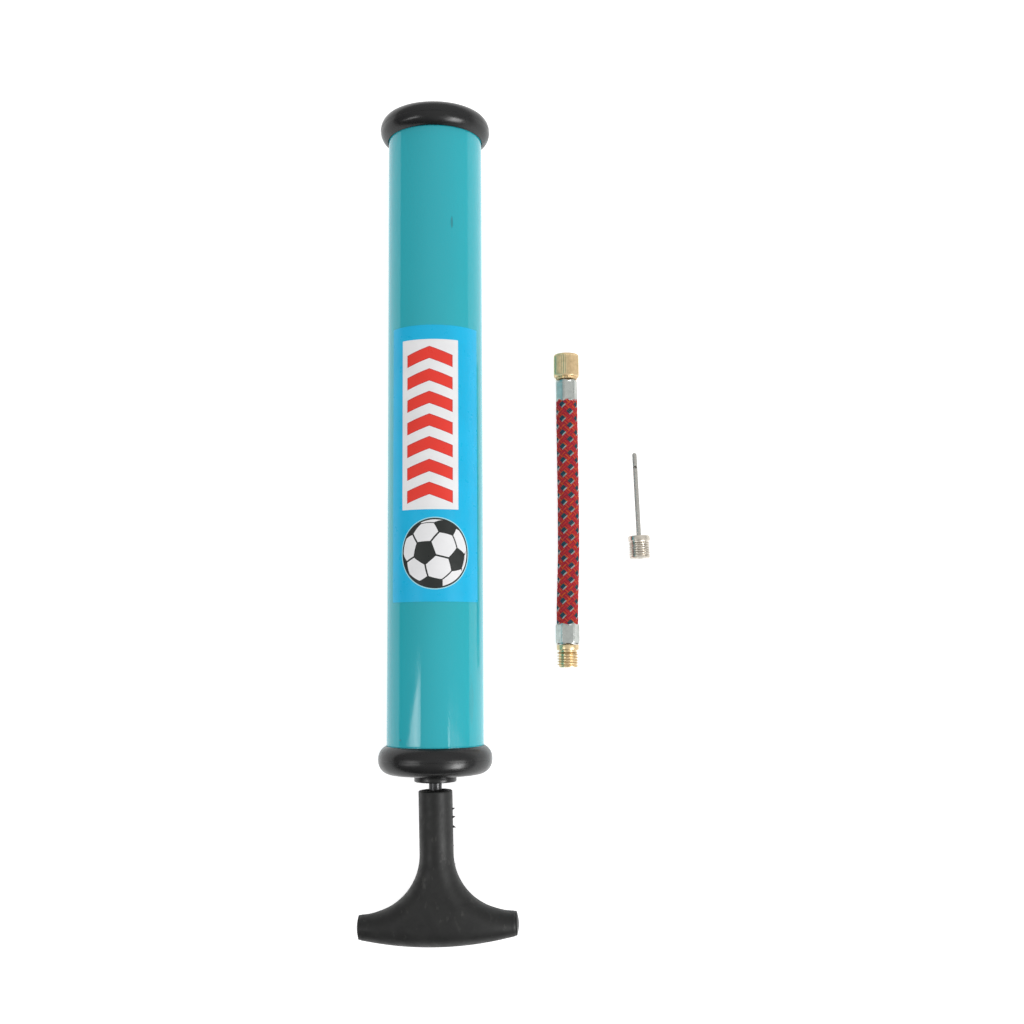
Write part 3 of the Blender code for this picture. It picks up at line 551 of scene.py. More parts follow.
def build_hose(looks):
    """Sixteen carriers of four yarns, braided one over one over a rubber core."""
    path = hose_path()
    sample, length = path_sampler(path)
    low, high = -BRAID_IN_FERRULE, length + BRAID_IN_FERRULE
    distances = np.linspace(low, high, int((high - low) / YARN_STEP))
    points, faces, kinds = [], [], []
    count = 0
    plain = ("crimson_yarn", "orange_yarn", "crimson_yarn", "scarlet_yarn")
    fleck = ("teal_yarn", "navy_yarn", "teal_yarn", "pale_yarn")
    names = sorted(set(plain + fleck)) + ["black_rubber"]
    for direction in (1, -1):
        for carrier in range(CARRIERS):
            marked = direction == 1 and carrier % 2 == 0
            for k in range(YARNS):
                centres = yarn_centres(sample, distances, direction, carrier, (k - 1.5) / YARNS)
                side, up = frames_along(centres)
                yarn_points, yarn_faces = tube_along(centres, side, up, YARN_R, YARN_SIDES)
                points.append(yarn_points)
                faces += [tuple(v + count for v in face) for face in yarn_faces]
                name = fleck[k] if marked else plain[(k + carrier) % len(plain)]
                kinds += [names.index(name)] * len(yarn_faces)
                count += len(yarn_points)
    at, side, up, _ = sample(np.linspace(low, high, 90))
    core_points, core_faces = tube_along(at, side, up, CORE_R, 32)
    points.append(core_points)
    faces += [tuple(v + count for v in face) for face in core_faces]
    kinds += [names.index("black_rubber")] * len(core_faces)
    mesh = mesh_from("hose_cover", np.concatenate(points), faces, [looks[n] for n in names], closed=False)
    mesh.polygons.foreach_set("material_index", kinds)
    hose = add_object("hose_cover", mesh)
    return hose, path, length


# Hose ends

FERRULE = 7.9 * MM
OUTLET_FERRULE = 7.3 * MM
LIP = 0.9 * MM
FERRULE_BORE_R = 3.55 * MM
FERRULE_TURN = math.radians(11)
NUT_GAP = 0.4 * MM
# Distance from the braid's end
SEAT_WASHER_START = 11.8 * MM


def crimped_shape(length, flat_r, corner_r, round_r, wave):
    """Round at both lips and pressed to a hexagon between them; the lips arch between the flats."""

    def shape(r, z, angle):
        if r[0] < FERRULE_BORE_R + 0.1 * MM:
            return r, z
        wall = r - round_r
        local = np.mod(angle + math.pi / 6, math.pi / 3) - math.pi / 6
        hexagon = np.minimum(flat_r / np.cos(local), corner_r)
        pressed = smoothstep(z / LIP) * smoothstep((length - z) / LIP)
        edge = 1 - smoothstep(np.minimum(z, length - z) / (1.2 * LIP))
        arch = wave * np.cos(6 * angle) * edge * np.where(z < 0.5 * length, 1.0, -1.0)
        return wall + round_r * (1 - pressed) + hexagon * pressed, z + arch

    return shape


def build_ferrule(name, length, flat_r, corner_r, round_r, wave, material, matrix):
    edge = 0.25 * MM
    cup = 1.2 * MM
    profile = [(FERRULE_BORE_R, cup), (FERRULE_BORE_R, edge)]
    profile += arc(FERRULE_BORE_R + edge, edge, edge, 180, 270, 3)
    profile += arc(round_r - edge, edge, edge, -90, 0, 4)
    profile += run(round_r, edge + 0.05 * MM, round_r, length - edge - 0.05 * MM, 36)
    profile += arc(round_r - edge, length - edge, edge, 0, 90, 4)
    profile += [(STEM_R + 0.25 * MM, length), (STEM_R + 0.25 * MM, cup)]
    shape = crimped_shape(length, flat_r, corner_r, round_r, wave)
    return turned(name, profile, material, matrix, 144, shape)


def build_nut(material, matrix):
    """The swivel nut: straight knurl, notched collar behind it and a threaded socket in front."""
    length = 9.6 * MM
    body_r = 4.65 * MM
    ridges = 42
    groove_depth = 0.17 * MM
    notches = 20
    notch_depth = 0.3 * MM
    thread = thread_shape(0.9 * MM, 0.28 * MM, 2.0 * MM, length - 0.3 * MM, inward=True)

    def shape(r, z, angle):
        if r[0] < body_r - 1.2 * MM and r[0] > STEM_R + 0.5 * MM:
            turned_r, _ = thread(r - 0.28 * MM, z, angle)
            return np.minimum(turned_r, r), z
        if r[0] < STEM_R + 0.5 * MM:
            return r, z
        valley = np.abs(np.mod(angle * ridges / TAU, 1.0) * 2 - 1)
        reach = smoothstep((z - 1.35 * MM) / (0.35 * MM))
        reach = reach * smoothstep((length - 0.45 * MM - z) / (0.5 * MM))
        notch = smoothstep(1.6 * np.abs(np.mod(angle * notches / TAU, 1.0) * 2 - 1) - 0.5)
        behind = smoothstep((0.75 * MM - z) / (0.2 * MM))
        return r - groove_depth * valley * reach - notch_depth * notch * behind, z

    profile = [(STEM_R + 0.3 * MM, 0.0)]
    profile += [(3.75 * MM, 0.0), (3.9 * MM, 0.1 * MM), (3.9 * MM, 0.55 * MM), (3.7 * MM, 0.72 * MM)]
    profile += [(3.75 * MM, 0.85 * MM)]
    profile += arc(body_r - 0.6 * MM, 1.45 * MM, 0.6 * MM, -80, 0, 5)
    profile += run(body_r, 1.6 * MM, body_r, length - 0.8 * MM, 20)
    profile += arc(body_r - 0.65 * MM, length - 0.65 * MM, 0.65 * MM, 0, 78, 6)
    profile += [(SOCKET_R + 0.12 * MM, length - 0.02 * MM)]
    profile += run(SOCKET_R, length - 0.2 * MM, SOCKET_R, 1.6 * MM, 60)
    profile += [(SOCKET_R, 1.4 * MM), (STEM_R + 0.3 * MM, 1.4 * MM)]
    return turned("swivel_nut", profile, material, matrix, ridges * 8, shape)


def build_fitting(material, matrix, start):
    """The hose's male end: collar, neck and thread, bored through. Heights are from the braid's end."""
    collar = 1.9 * MM
    neck_start = start + collar
    neck = 0.9 * MM
    tip = neck_start + 6.3 * MM
    edge = 0.25 * MM
    collar_r = THREAD_R + 0.1 * MM
    profile = [(STEM_R, 1.8 * MM), (1.0 * MM, 1.8 * MM), (1.0 * MM, tip - 0.4 * MM)]
    profile += [(1.35 * MM, tip)]
    profile += [(THREAD_R - 0.75 * MM, tip), (THREAD_R - 0.1 * MM, tip - 0.5 * MM)]
    profile += run(THREAD_R, tip - 0.55 * MM, THREAD_R, neck_start + neck + 0.1 * MM, 56)
    profile += [(THREAD_R - 0.15 * MM, neck_start + neck)]
    profile += [(THREAD_R - 0.7 * MM, neck_start + neck - 0.15 * MM)]
    profile += [(THREAD_R - 0.7 * MM, neck_start + 0.12 * MM)]
    profile += arc(THREAD_R - 0.58 * MM, neck_start + 0.12 * MM, 0.12 * MM, 180, 270, 3)
    profile += arc(collar_r - edge, neck_start - edge, edge, 90, 0, 4)
    profile += arc(collar_r - edge, start + edge, edge, 0, -90, 4)
    profile += [(STEM_R, start)]
    thread = thread_shape(1.02 * MM, 0.62 * MM, neck_start + neck - 0.3 * MM, tip + 0.4 * MM)

    def shape(r, z, angle):
        return thread(r, z, angle) if r[0] > THREAD_R - 0.2 * MM and z[0] > neck_start + neck else (r, z)

    return turned("outlet_fitting", profile, material, matrix, 144, shape)


def disc(name, radius, bore, thickness, edge, material, matrix, segments=96):
    """A washer with rounded outer edges."""
    profile = arc(radius - edge, edge, edge, -90, 0, 4)
    profile += arc(radius - edge, thickness - edge, edge, 0, 90, 4)
    profile += [(bore + 0.3 * edge, thickness), (bore, thickness - 0.3 * edge)]
    profile += [(bore, 0.3 * edge), (bore + 0.3 * edge, 0.0)]
    return turned(name, profile, material, matrix, segments)


def build_stem(material, matrix):
    """The swivel stem that joins the hose to the nut."""
    low, high = 1.8 * MM, 11.5 * MM
    flange = 10.3 * MM
    flange_r = SOCKET_R - 0.55 * MM
    profile = [(STEM_R, low), (STEM_R, flange)]
    profile += [(flange_r - 0.15 * MM, flange), (flange_r, flange + 0.15 * MM)]
    profile += [(flange_r, high - 0.15 * MM), (flange_r - 0.15 * MM, high)]
    profile += [(1.2 * MM, high), (1.0 * MM, high - 0.2 * MM), (1.0 * MM, low)]
    return turned("swivel_stem", profile, material, matrix, 96)


def build_hose_group(looks):
    hose, path, length = build_hose(looks)
    origin = Vector((AXIS_X, STATION_0, 0))
    first = origin + Vector(HOSE_ROUTE_MM[0]) * MM
    last = origin + Vector(HOSE_ROUTE_MM[-1]) * MM
    nut_end = Matrix.Translation(first) @ LYING
    lower_end = Matrix.Translation(last) @ FACING_BACK
    turn = Matrix.Rotation(FERRULE_TURN, 4, "Z")
    zinc, brass = looks["zinc"], looks["brass"]
    gap = Matrix.Translation((0, 0, FIT_GAP))
    upper_ferrule = build_ferrule(
        "upper_ferrule", FERRULE, 3.68 * MM, 3.98 * MM, 3.9 * MM, 0.16 * MM, zinc, nut_end @ gap @ turn
    )
    lower_ferrule = build_ferrule(
        "lower_ferrule", OUTLET_FERRULE, 3.86 * MM, 4.36 * MM, 4.05 * MM, 0.22 * MM, zinc, lower_end @ gap
    )
    nut_start = FIT_GAP + FERRULE + NUT_GAP
    nut = build_nut(brass, nut_end @ Matrix.Translation((0, 0, nut_start)))
    stem = build_stem(brass, nut_end)
    washer_at = nut_end @ Matrix.Translation((0, 0, SEAT_WASHER_START))
    washer = disc("seat_washer", 3.75 * MM, 1.2 * MM, 1.0 * MM, 0.15 * MM, looks["black_rubber"], washer_at)
    fitting = build_fitting(looks["pale_brass"], lower_end, FIT_GAP + OUTLET_FERRULE + FIT_GAP)
    finished(hose, "hose", "red_braid", "hose_braid")
    finished(upper_ferrule, "hose", "zinc_ferrule", "nut_end_ferrule")
    finished(lower_ferrule, "hose", "zinc_ferrule", "outlet_end_ferrule")
    finished(stem, "hose", "brass", "nut_end_stem")
    finished(washer, "hose", "black_rubber", "nut_seat_washer")
    finished(nut, "hose_nut", "brass", "knurled_nut")
    finished(fitting, "hose", "brass", "outlet_end_fitting")


# Barrel, sticker and caps

STICKER_LIFT = 0.02 * MM
STICKER_FILM = 0.10 * MM
INK = 0.015 * MM
STICKER_LOW, STICKER_HIGH = 49.4 * MM, 145.9 * MM
STICKER_LEFT, STICKER_RIGHT = -55.6, 62.4
PANEL_LOW, PANEL_HIGH = 81.1 * MM, 140.8 * MM
PANEL_LEFT, PANEL_RIGHT = -38.0, 31.2
PANEL_SIDE_MARGIN = 2.3 * MM
PANEL_END_MARGIN = 2.0 * MM
CHEVRONS = 7
BALL_ANGLE = 3.2
BALL_STATION = 66.0 * MM
BALL_R = 12.1 * MM
HALO = 0.35 * MM
# Width of the strips that a film is cut into, to bend it round the barrel
SLICE = 0.7 * MM


def across(angle_deg):
    """Distance round the barrel from its top line."""
    return TUBE_R * math.radians(angle_deg)


def wrapped(name, outlines, lift, thickness, material):
    """Thin film cut to flat outlines of (across, along) points and laid on the barrel."""
    mesh = bpy.data.meshes.new(name)
    shape = bmesh.new()
    for outline in outlines:
        shape.faces.new([shape.verts.new((x, y, 0)) for x, y in outline])
    bmesh.ops.triangulate(shape, faces=shape.faces)
    widths = [v.co.x for v in shape.verts]
    first = math.ceil(min(widths) / SLICE)
    last = math.floor(max(widths) / SLICE)
    for k in range(first, last + 1):
        everything = list(shape.verts) + list(shape.edges) + list(shape.faces)
        place = (k * SLICE, 0, 0)
        bmesh.ops.bisect_plane(shape, geom=everything, dist=1e-7, plane_co=place, plane_no=(1, 0, 0))
    bmesh.ops.recalc_face_normals(shape, faces=shape.faces)
    radius = TUBE_R + lift
    for vertex in shape.verts:
        angle = vertex.co.x / TUBE_R
        vertex.co = (radius * math.sin(angle), -radius * math.cos(angle), vertex.co.y)
    shape.normal_update()
    for face in shape.faces:
        middle_point = face.calc_center_median()
        if face.normal.x * middle_point.x + face.normal.y * middle_point.y < 0:
            face.normal_flip()
    shape.to_mesh(mesh)
    shape.free()
    mesh.materials.append(material)
    made = add_object(name, mesh, on_pump(0.0))
    shell = made.modifiers.new("film", "SOLIDIFY")
    shell.thickness = thickness
    shell.offset = 1.0
    applied(made)
    made.data.shade_smooth()
    made.data.set_sharp_from_angle(angle=SMOOTH_ANGLE)
    return made


def rectangle(left, right, low, high, corner, steps=6):
    """A rectangle with rounded corners."""
    points = []
    for x, y, start in (
        (right - corner, high - corner, 0),
        (left + corner, high - corner, 90),
        (left + corner, low + corner, 180),
        (right - corner, low + corner, 270),
    ):
        points += arc(x, y, corner, start, start + 90, steps)
    return points


def circle(x, y, radius, steps=96):
    return arc(x, y, radius, 0, 360 - 360 / steps, steps - 1)


def chevron(centre, base, width, rise, bar):
    """The two arms of a chevron that points to the outlet."""
    arms = []
    for side in (-1, 1):
        outer = centre + side * width / 2
        arms.append([(centre, base + rise), (centre, base + rise + bar), (outer, base + bar), (outer, base)])
    return arms


def soccer_faces():
    """The hexagons of a truncated icosahedron on the unit sphere, from an icosahedron's corners."""
    golden = (1 + math.sqrt(5)) / 2
    corners = []
    for a in (-1, 1):
        for b in (-golden, golden):
            corners += [Vector((0, a, b)), Vector((a, b, 0)), Vector((b, 0, a))]
    near = [(i, j) for i in range(12) for j in range(12) if i < j and (corners[i] - corners[j]).length < 2.1]
    hexagons = []
    for i, j in near:
        for k in range(j + 1, 12):
            if (i, k) in near and (j, k) in near:
                ring = []
                for a, b in ((i, j), (j, k), (k, i)):
                    ring += [corners[a].lerp(corners[b], 1 / 3), corners[a].lerp(corners[b], 2 / 3)]
                hexagons.append(ring)
    return hexagons


def ball_outlines(radius):
    """The white panels of a football as flat outlines, seen from its front and drawn in by its seams."""
    turn = Matrix.Rotation(math.radians(27), 3, "X") @ Matrix.Rotation(math.radians(-21), 3, "Y")
    turn = Matrix.Rotation(math.radians(14), 3, "Z") @ turn
    limb = 0.955
    outlines = []
    for ring in soccer_faces():
        centre = turn @ sum(ring, Vector()) / 6
        if centre.z < -0.35 * centre.length:
            continue
        edge = []
        for a, b in zip(ring, ring[1:] + ring[:1]):
            for t in range(6):
                point = turn @ a.lerp(b, t / 6)
                point = point.lerp(centre, 0.075).normalized()
                flat = Vector((point.x, point.y))
                if point.z < 0 or flat.length > limb:
                    flat = flat.normalized() * limb
                edge.append((flat.x * radius, flat.y * radius))
        if outline_area(edge) > 0.012 * radius * radius:
            outlines.append(edge)
    return outlines


def outline_area(outline):
    total = 0.0
    for (x0, y0), (x1, y1) in zip(outline, outline[1:] + outline[:1]):
        total += x0 * y1 - x1 * y0
    return abs(total) / 2


def build_sticker(looks):
    film = wrapped(
        "sticker_film",
        [rectangle(across(STICKER_LEFT), across(STICKER_RIGHT), STICKER_LOW, STICKER_HIGH, 0.4 * MM)],
        STICKER_LIFT,
        STICKER_FILM,
        looks["sticker_blue"],
    )
    top = STICKER_LIFT + STICKER_FILM
    first_ink = top - 0.005 * MM
    second_ink = top + INK - 0.006 * MM
    third_ink = top + 2 * INK - 0.008 * MM
    left, right = across(PANEL_LEFT), across(PANEL_RIGHT)
    panel = wrapped(
        "sticker_panel",
        [rectangle(left, right, PANEL_LOW, PANEL_HIGH, 0.2 * MM)],
        first_ink,
        INK,
        looks["sticker_white"],
    )
    centre = (left + right) / 2
    width = right - left - 2 * PANEL_SIDE_MARGIN
    pitch = (PANEL_HIGH - PANEL_LOW - 2 * PANEL_END_MARGIN) / CHEVRONS
    rise, bar, outline = 3.0 * MM, 3.9 * MM, 0.22 * MM
    red, dark = [], []
    for k in range(CHEVRONS):
        base = PANEL_LOW + PANEL_END_MARGIN + k * pitch + 0.4 * MM
        red += chevron(centre, base, width, rise, bar)
        dark += chevron(centre, base - outline, width + 2 * outline, rise, bar + 2 * outline)
    edges = wrapped("sticker_arrow_edges", dark, second_ink, INK, looks["sticker_dark_red"])
    arrows = wrapped("sticker_arrows", red, third_ink, INK, looks["sticker_red"])
    x, y = across(BALL_ANGLE), BALL_STATION
    halo = wrapped("sticker_ball_halo", [circle(x, y, BALL_R + HALO)], first_ink, INK, looks["sticker_halo"])
    ball = wrapped("sticker_ball", [circle(x, y, BALL_R)], second_ink, INK, looks["sticker_black"])
    panels = [[(x + px, y + py) for px, py in outline] for outline in ball_outlines(BALL_R)]
    white = wrapped("sticker_ball_panels", panels, third_ink, INK, looks["sticker_grey"])
    finished(film, "barrel", "sticker_blue", "barrel_label")
    for piece in (panel, edges, arrows, halo, ball, white):
        finished(piece, "barrel", "sticker_blue")


# Station of the bead that the enamel leaves where it ends at the handle's cap
PAINT_BEAD = 0.35 * MM


def build_tube(material):
    bead = 0.09 * MM
    low, high = -TUBE_SEAT, TUBE_SHOWN + TUBE_SEAT
    edge = 0.15 * MM
    inner = TUBE_R - TUBE_WALL
    profile = [(TUBE_R - edge, high), (TUBE_R, high - edge)]
    profile += run(TUBE_R, high - 3 * edge, TUBE_R, PAINT_BEAD + 8 * bead, 24)
    for step in (5, 3, 2):
        profile.append((TUBE_R, PAINT_BEAD + step * bead))
    profile += [(TUBE_R + 0.6 * bead, PAINT_BEAD + bead), (TUBE_R + bead, PAINT_BEAD)]
    profile.append((TUBE_R + 0.6 * bead, PAINT_BEAD - bead))
    for step in (2, 3, 5):
        profile.append((TUBE_R, PAINT_BEAD - step * bead))
    profile.append((TUBE_R, low + 3 * edge))
    profile += [(TUBE_R, low + edge), (TUBE_R - edge, low), (inner + edge, low), (inner, low + edge)]
    profile += [(inner, high - edge), (inner + edge, high)]
    return turned("barrel", profile, material, on_pump(0.0), 192)


HANDLE_CAP_FACE = 9.8 * MM
OUTLET_CAP_FACE = 10.05 * MM


def cap_profile(bore, back, mouth, face):
    """A cap's outline: rounded rim with a moulding line, flat face, bore and the lip that hugs the barrel."""
    rim = 0.5 * (face - mouth - CAP_LAND)
    centre = CAP_R - rim
    lip_r = TUBE_R + 0.06 * MM
    lip = math.degrees(math.acos((lip_r + 0.25 * MM - centre) / rim))
    line = 0.08 * MM
    widest = mouth + rim
    mouth_edge = widest - rim * math.sin(math.radians(lip)) + 0.15 * MM
    profile = [(lip_r, TUBE_SEAT + 0.2 * MM), (lip_r, mouth_edge)]
    profile += arc(centre, widest, rim, -lip, 0, 28)
    half = widest + CAP_LAND / 2
    profile += [(CAP_R, half - line), (CAP_R + line, half - 0.4 * line), (CAP_R + line, half + 0.4 * line)]
    profile += [(CAP_R, half + line)]
    profile += arc(centre, widest + CAP_LAND, rim, 0, 90, 28)
    profile += [(bore + 0.25 * MM, face), (bore, face - 0.25 * MM), (bore, back)]
    profile += [(TUBE_R - TUBE_WALL - FIT_GAP, back), (TUBE_R - TUBE_WALL - FIT_GAP, TUBE_SEAT + 0.2 * MM)]
    return profile


def nicked(phase):
    """Little breaks in the moulding line at the widest part of a cap."""

    def shape(r, z, angle):
        ridge = r[0] > CAP_R + 0.01 * MM
        if not ridge:
            return r, z
        broken = smoothstep(8 * np.sin(angle * 3 + phase) - 7.2)
        broken = broken + smoothstep(9 * np.sin(angle * 7 + 2 * phase) - 8.3)
        return r + 0.05 * MM * broken - 0.03 * MM * smoothstep(np.sin(5 * angle)), z

    return shape


def build_caps(looks):
    black = looks["cap_black"]
    handle_profile = [(r, -z) for r, z in cap_profile(5.2 * MM, -2.0 * MM, -0.5 * MM, HANDLE_CAP_FACE)]
    handle_cap = turned("handle_end_cap", handle_profile, black, on_pump(0.0), 192, nicked(0.4))
    outlet_profile = cap_profile(6.15 * MM, -6.3 * MM, 0.5 * MM, OUTLET_CAP_FACE)
    outlet_cap = turned("outlet_end_cap", outlet_profile, black, on_pump(TUBE_SHOWN), 192, nicked(1.3))
    finished(handle_cap, "barrel", "black_cap", "handle_cap")
    finished(outlet_cap, "barrel", "black_cap", "outlet_cap")
    build_guide_bush(looks)
    build_outlet_bush(looks)


def build_guide_bush(looks):
    bore = ROD_R + 0.08 * MM
    end = station_of("rod_guide_bush", 0) + 0.5 * MM
    flange_r = 7.4 * MM
    top = -HANDLE_CAP_FACE - 0.05 * MM
    profile = [(5.0 * MM, 3.0 * MM), (5.0 * MM, top), (flange_r - 0.1 * MM, top)]
    profile += [(flange_r, top - 0.15 * MM)]
    profile += arc(flange_r - 0.45 * MM, end + 0.45 * MM, 0.45 * MM, 0, -90, 6)
    profile += [(bore + 0.9 * MM, end), (bore + 0.7 * MM, end + 0.25 * MM)]
    profile += [(bore + 0.15 * MM, end + 0.25 * MM)]
    profile += [(bore, end + 0.45 * MM), (bore, 3.0 * MM)]
    bush = turned("guide_bush", profile, looks["cap_black"], on_pump(0.0), 128)
    finished(bush, "barrel", "black_cap", "rod_guide_bush")


def build_outlet_bush(looks):
    """The threaded brass outlet, set in the cap, with the valve's seat at its bottom."""
    start = station_of("outlet_bush", 0) - TUBE_SHOWN
    end = station_of("outlet_bush", 1) - TUBE_SHOWN
    seat_face = start + 1.2 * MM
    socket_start = seat_face + 6.6 * MM
    chamber_r, seat_r, outer_r = 2.4 * MM, 1.1 * MM, 6.0 * MM
    thread_depth = 0.28 * MM
    profile = arc(outer_r - 0.3 * MM, end - 0.3 * MM, 0.3 * MM, 90, 0, 4)
    profile += [(outer_r, start + 0.2 * MM), (outer_r - 0.2 * MM, start)]
    profile += [(seat_r, start), (seat_r, seat_face - 0.1 * MM)]
    profile += [(seat_r + 0.25 * MM, seat_face), (chamber_r, seat_face), (chamber_r, socket_start)]
    profile += [(SOCKET_R, socket_start)]
    profile += run(SOCKET_R, socket_start + 0.3 * MM, SOCKET_R, end - 0.25 * MM, 60)
    profile += [(SOCKET_R + 0.3 * MM, end)]
    thread = thread_shape(0.9 * MM, thread_depth, socket_start + 0.5 * MM, end - 0.1 * MM, inward=True)

    def shape(r, z, angle):
        if abs(r[0] - SOCKET_R) > 0.01 * MM or z[0] < socket_start + 0.2 * MM:
            return r, z
        cut_r, _ = thread(r - thread_depth, z, angle)
        return cut_r, z

    bush = turned("outlet_socket", profile, looks["brass"], on_pump(TUBE_SHOWN), 128, shape)
    finished(bush, "barrel", "brass", "outlet_bush")


# Rod and handle

NECK_R = 5.85 * MM
NECK_EDGE_R = 0.5 * MM
NECK_LENGTH = 21.6 * MM
FLARE_R = 19.5 * MM
BAR_START = NECK_LENGTH + FLARE_R
BAR_HALF_WIDTH = 27.2 * MM
BAR_END = 8.74 * MM
BAR_THICKNESS = 14.0 * MM
BAR_SAG = 3.13 * MM
BAR_TAPER = 0.55 * MM
END_DOME = 0.7 * MM
HANDLE_SEAM = 0.1 * MM
HANDLE_GAP = 2.4 * MM
HANDLE_LEAN = math.radians(1.1)
PER_HALF = 79
SEAM_POINTS = 9
FLASH = 0.07 * MM
# (radius, depth) down the bore for the rod and up its counterbore
HANDLE_BORE_MM = ((2.55, 19.9), (2.55, 1.9), (4.3, 1.7), (4.5, 0.15), (4.7, 0.0))


def build_rod(looks):
    """The rod, with its collar behind the piston and its thread through it."""
    tip = station_of("piston_rod", 1)
    low = station_of("piston_rod", 0)
    collar_end = station_of("piston_back_disc", 0) - FIT_GAP
    thread_r, collar_r, edge = 2.0 * MM, 3.8 * MM, 0.1 * MM
    thread_low = station_of("piston_nut", 0) - 1.5 * MM
    profile = [(0.0, tip), (thread_r - 0.45 * MM, tip), (thread_r, tip - 0.45 * MM)]
    profile += run(thread_r, tip - 0.5 * MM, thread_r, thread_low, 50)
    collar_start = collar_end - 2.0 * MM
    profile += [(thread_r, collar_end), (collar_r - edge, collar_end), (collar_r, collar_end - edge)]
    profile += [(collar_r, collar_start + edge), (collar_r - edge, collar_start), (ROD_R, collar_start)]
    profile += run(ROD_R, collar_start - 0.2 * MM, ROD_R, low, 20)
    profile += [(0.0, low)]
    thread = thread_shape(0.7 * MM, 0.22 * MM, thread_low, tip + 0.2 * MM)

    def shape(r, z, angle):
        threaded = z[0] > thread_low and r[0] > 1.9 * MM
        return thread(r, z, angle) if threaded else (r, z)

    rod = turned("rod", profile, looks["rod_black"], on_pump(0.0), 64, shape)
    finished(rod, "rod_and_handle", "black_rod", "piston_rod")


def handle_sections():
    """(distance from the neck's start, half width, how far it has grown into the bar) of each section."""
    sections = []
    for angle in np.linspace(0, 0.5 * math.pi, 5):
        along = NECK_EDGE_R * (1 - math.cos(angle))
        sections.append((along, NECK_R - NECK_EDGE_R * (1 - math.sin(angle)), 0.0))
    sections += [(along, NECK_R, 0.0) for along in np.linspace(1.2 * MM, NECK_LENGTH, 14)]
    for angle in np.linspace(0, 0.5 * math.pi, 41)[1:]:
        along = NECK_LENGTH + FLARE_R * math.sin(angle)
        width = NECK_R + FLARE_R * (1 - math.cos(angle))
        sections.append((along, width, math.sin(angle) ** 2))
    for angle in np.linspace(0, math.pi, 33)[1:-1]:
        sections.append((BAR_START + 0.5 * BAR_END * (1 - math.cos(angle)), BAR_HALF_WIDTH, 1.0))
    return sections


def half_thickness(x, along, half_width, grown):
    """How thick the handle is on each side of its seam. It is round in the neck and across the bar."""
    out = (x / BAR_HALF_WIDTH) ** 2
    if grown == 0.0:
        full = half_width
        near = half_width - np.abs(x)
    else:
        bar = 0.5 * BAR_THICKNESS + 0.5 * (BAR_END - BAR_THICKNESS) * out
        full = NECK_R + (bar - NECK_R) * grown
        near = np.hypot(np.maximum(0.0, NECK_R + FLARE_R - np.abs(x)), along - NECK_LENGTH) - FLARE_R
    far = BAR_START + BAR_END + BAR_SAG * (1 - out) - along
    depth = np.maximum(0.0, np.minimum(np.minimum(near, far), full))
    return np.maximum(HANDLE_SEAM, np.sqrt(depth * (2 * full - depth)))


def bar_ends_drawn(x, y, along):
    """The bar's slight taper to its ends, and the fine groove and ridge round each end."""
    out = np.abs(x)
    share = np.clip((along - BAR_START) / BAR_END, 0.0, 1.0)
    along = along + BAR_TAPER * np.clip((out - 20 * MM) / (7.2 * MM), 0.0, 1.0) * (1 - share)
    groove = np.exp(-(((out - 26.75 * MM) / (0.16 * MM)) ** 2))
    ridge = np.exp(-(((out - 26.0 * MM) / (0.22 * MM)) ** 2))
    factor = 1 - 0.035 * groove + 0.014 * ridge
    bar_middle = BAR_START + 0.5 * (BAR_TAPER + BAR_END)
    beside = out > 24 * MM
    along = np.where(beside, bar_middle + (along - bar_middle) * factor, along)
    return x, np.where(beside, y * factor, y), along


def handle_ring(along, half_width, grown):
    """One section: its upper half, one side, its lower half and the other side.

    Beside the neck the sides are the flash of the mould's seam. At the bar they are its domed ends.
    """
    angles = np.linspace(0, math.pi, PER_HALF)
    x = half_width * np.cos(angles)
    share = max(0.0, (along - BAR_START) / BAR_END)
    reach = along + share * BAR_SAG * (1 - (x / BAR_HALF_WIDTH) ** 2)
    y = half_thickness(x, reach, half_width, grown)
    x, y, reach = bar_ends_drawn(x, y, reach)
    side_y = y[-1] * np.linspace(1, -1, SEAM_POINTS + 2)[1:-1]
    side_along = np.full(SEAM_POINTS, reach[-1])
    if along <= BAR_START:
        side_x = np.full(SEAM_POINTS, -half_width - FLASH)
    else:
        end_r = 0.5 * (BAR_END - BAR_TAPER)
        distance = np.hypot(side_y, side_along - BAR_START - BAR_TAPER - end_r)
        side_x = -BAR_HALF_WIDTH - END_DOME * (1 - np.minimum(distance / end_r, 1.0) ** 2)
    xs = np.concatenate([x, side_x, x[::-1], -side_x])
    ys = np.concatenate([y, side_y, -y[::-1], -side_y])
    reaches = np.concatenate([reach, side_along, reach[::-1], side_along])
    return np.stack([xs, ys, -reaches], axis=1)


def lean(points):
    turn = Matrix.Rotation(-HANDLE_LEAN, 3, "Y")
    return [tuple(turn @ Vector(p)) for p in points]


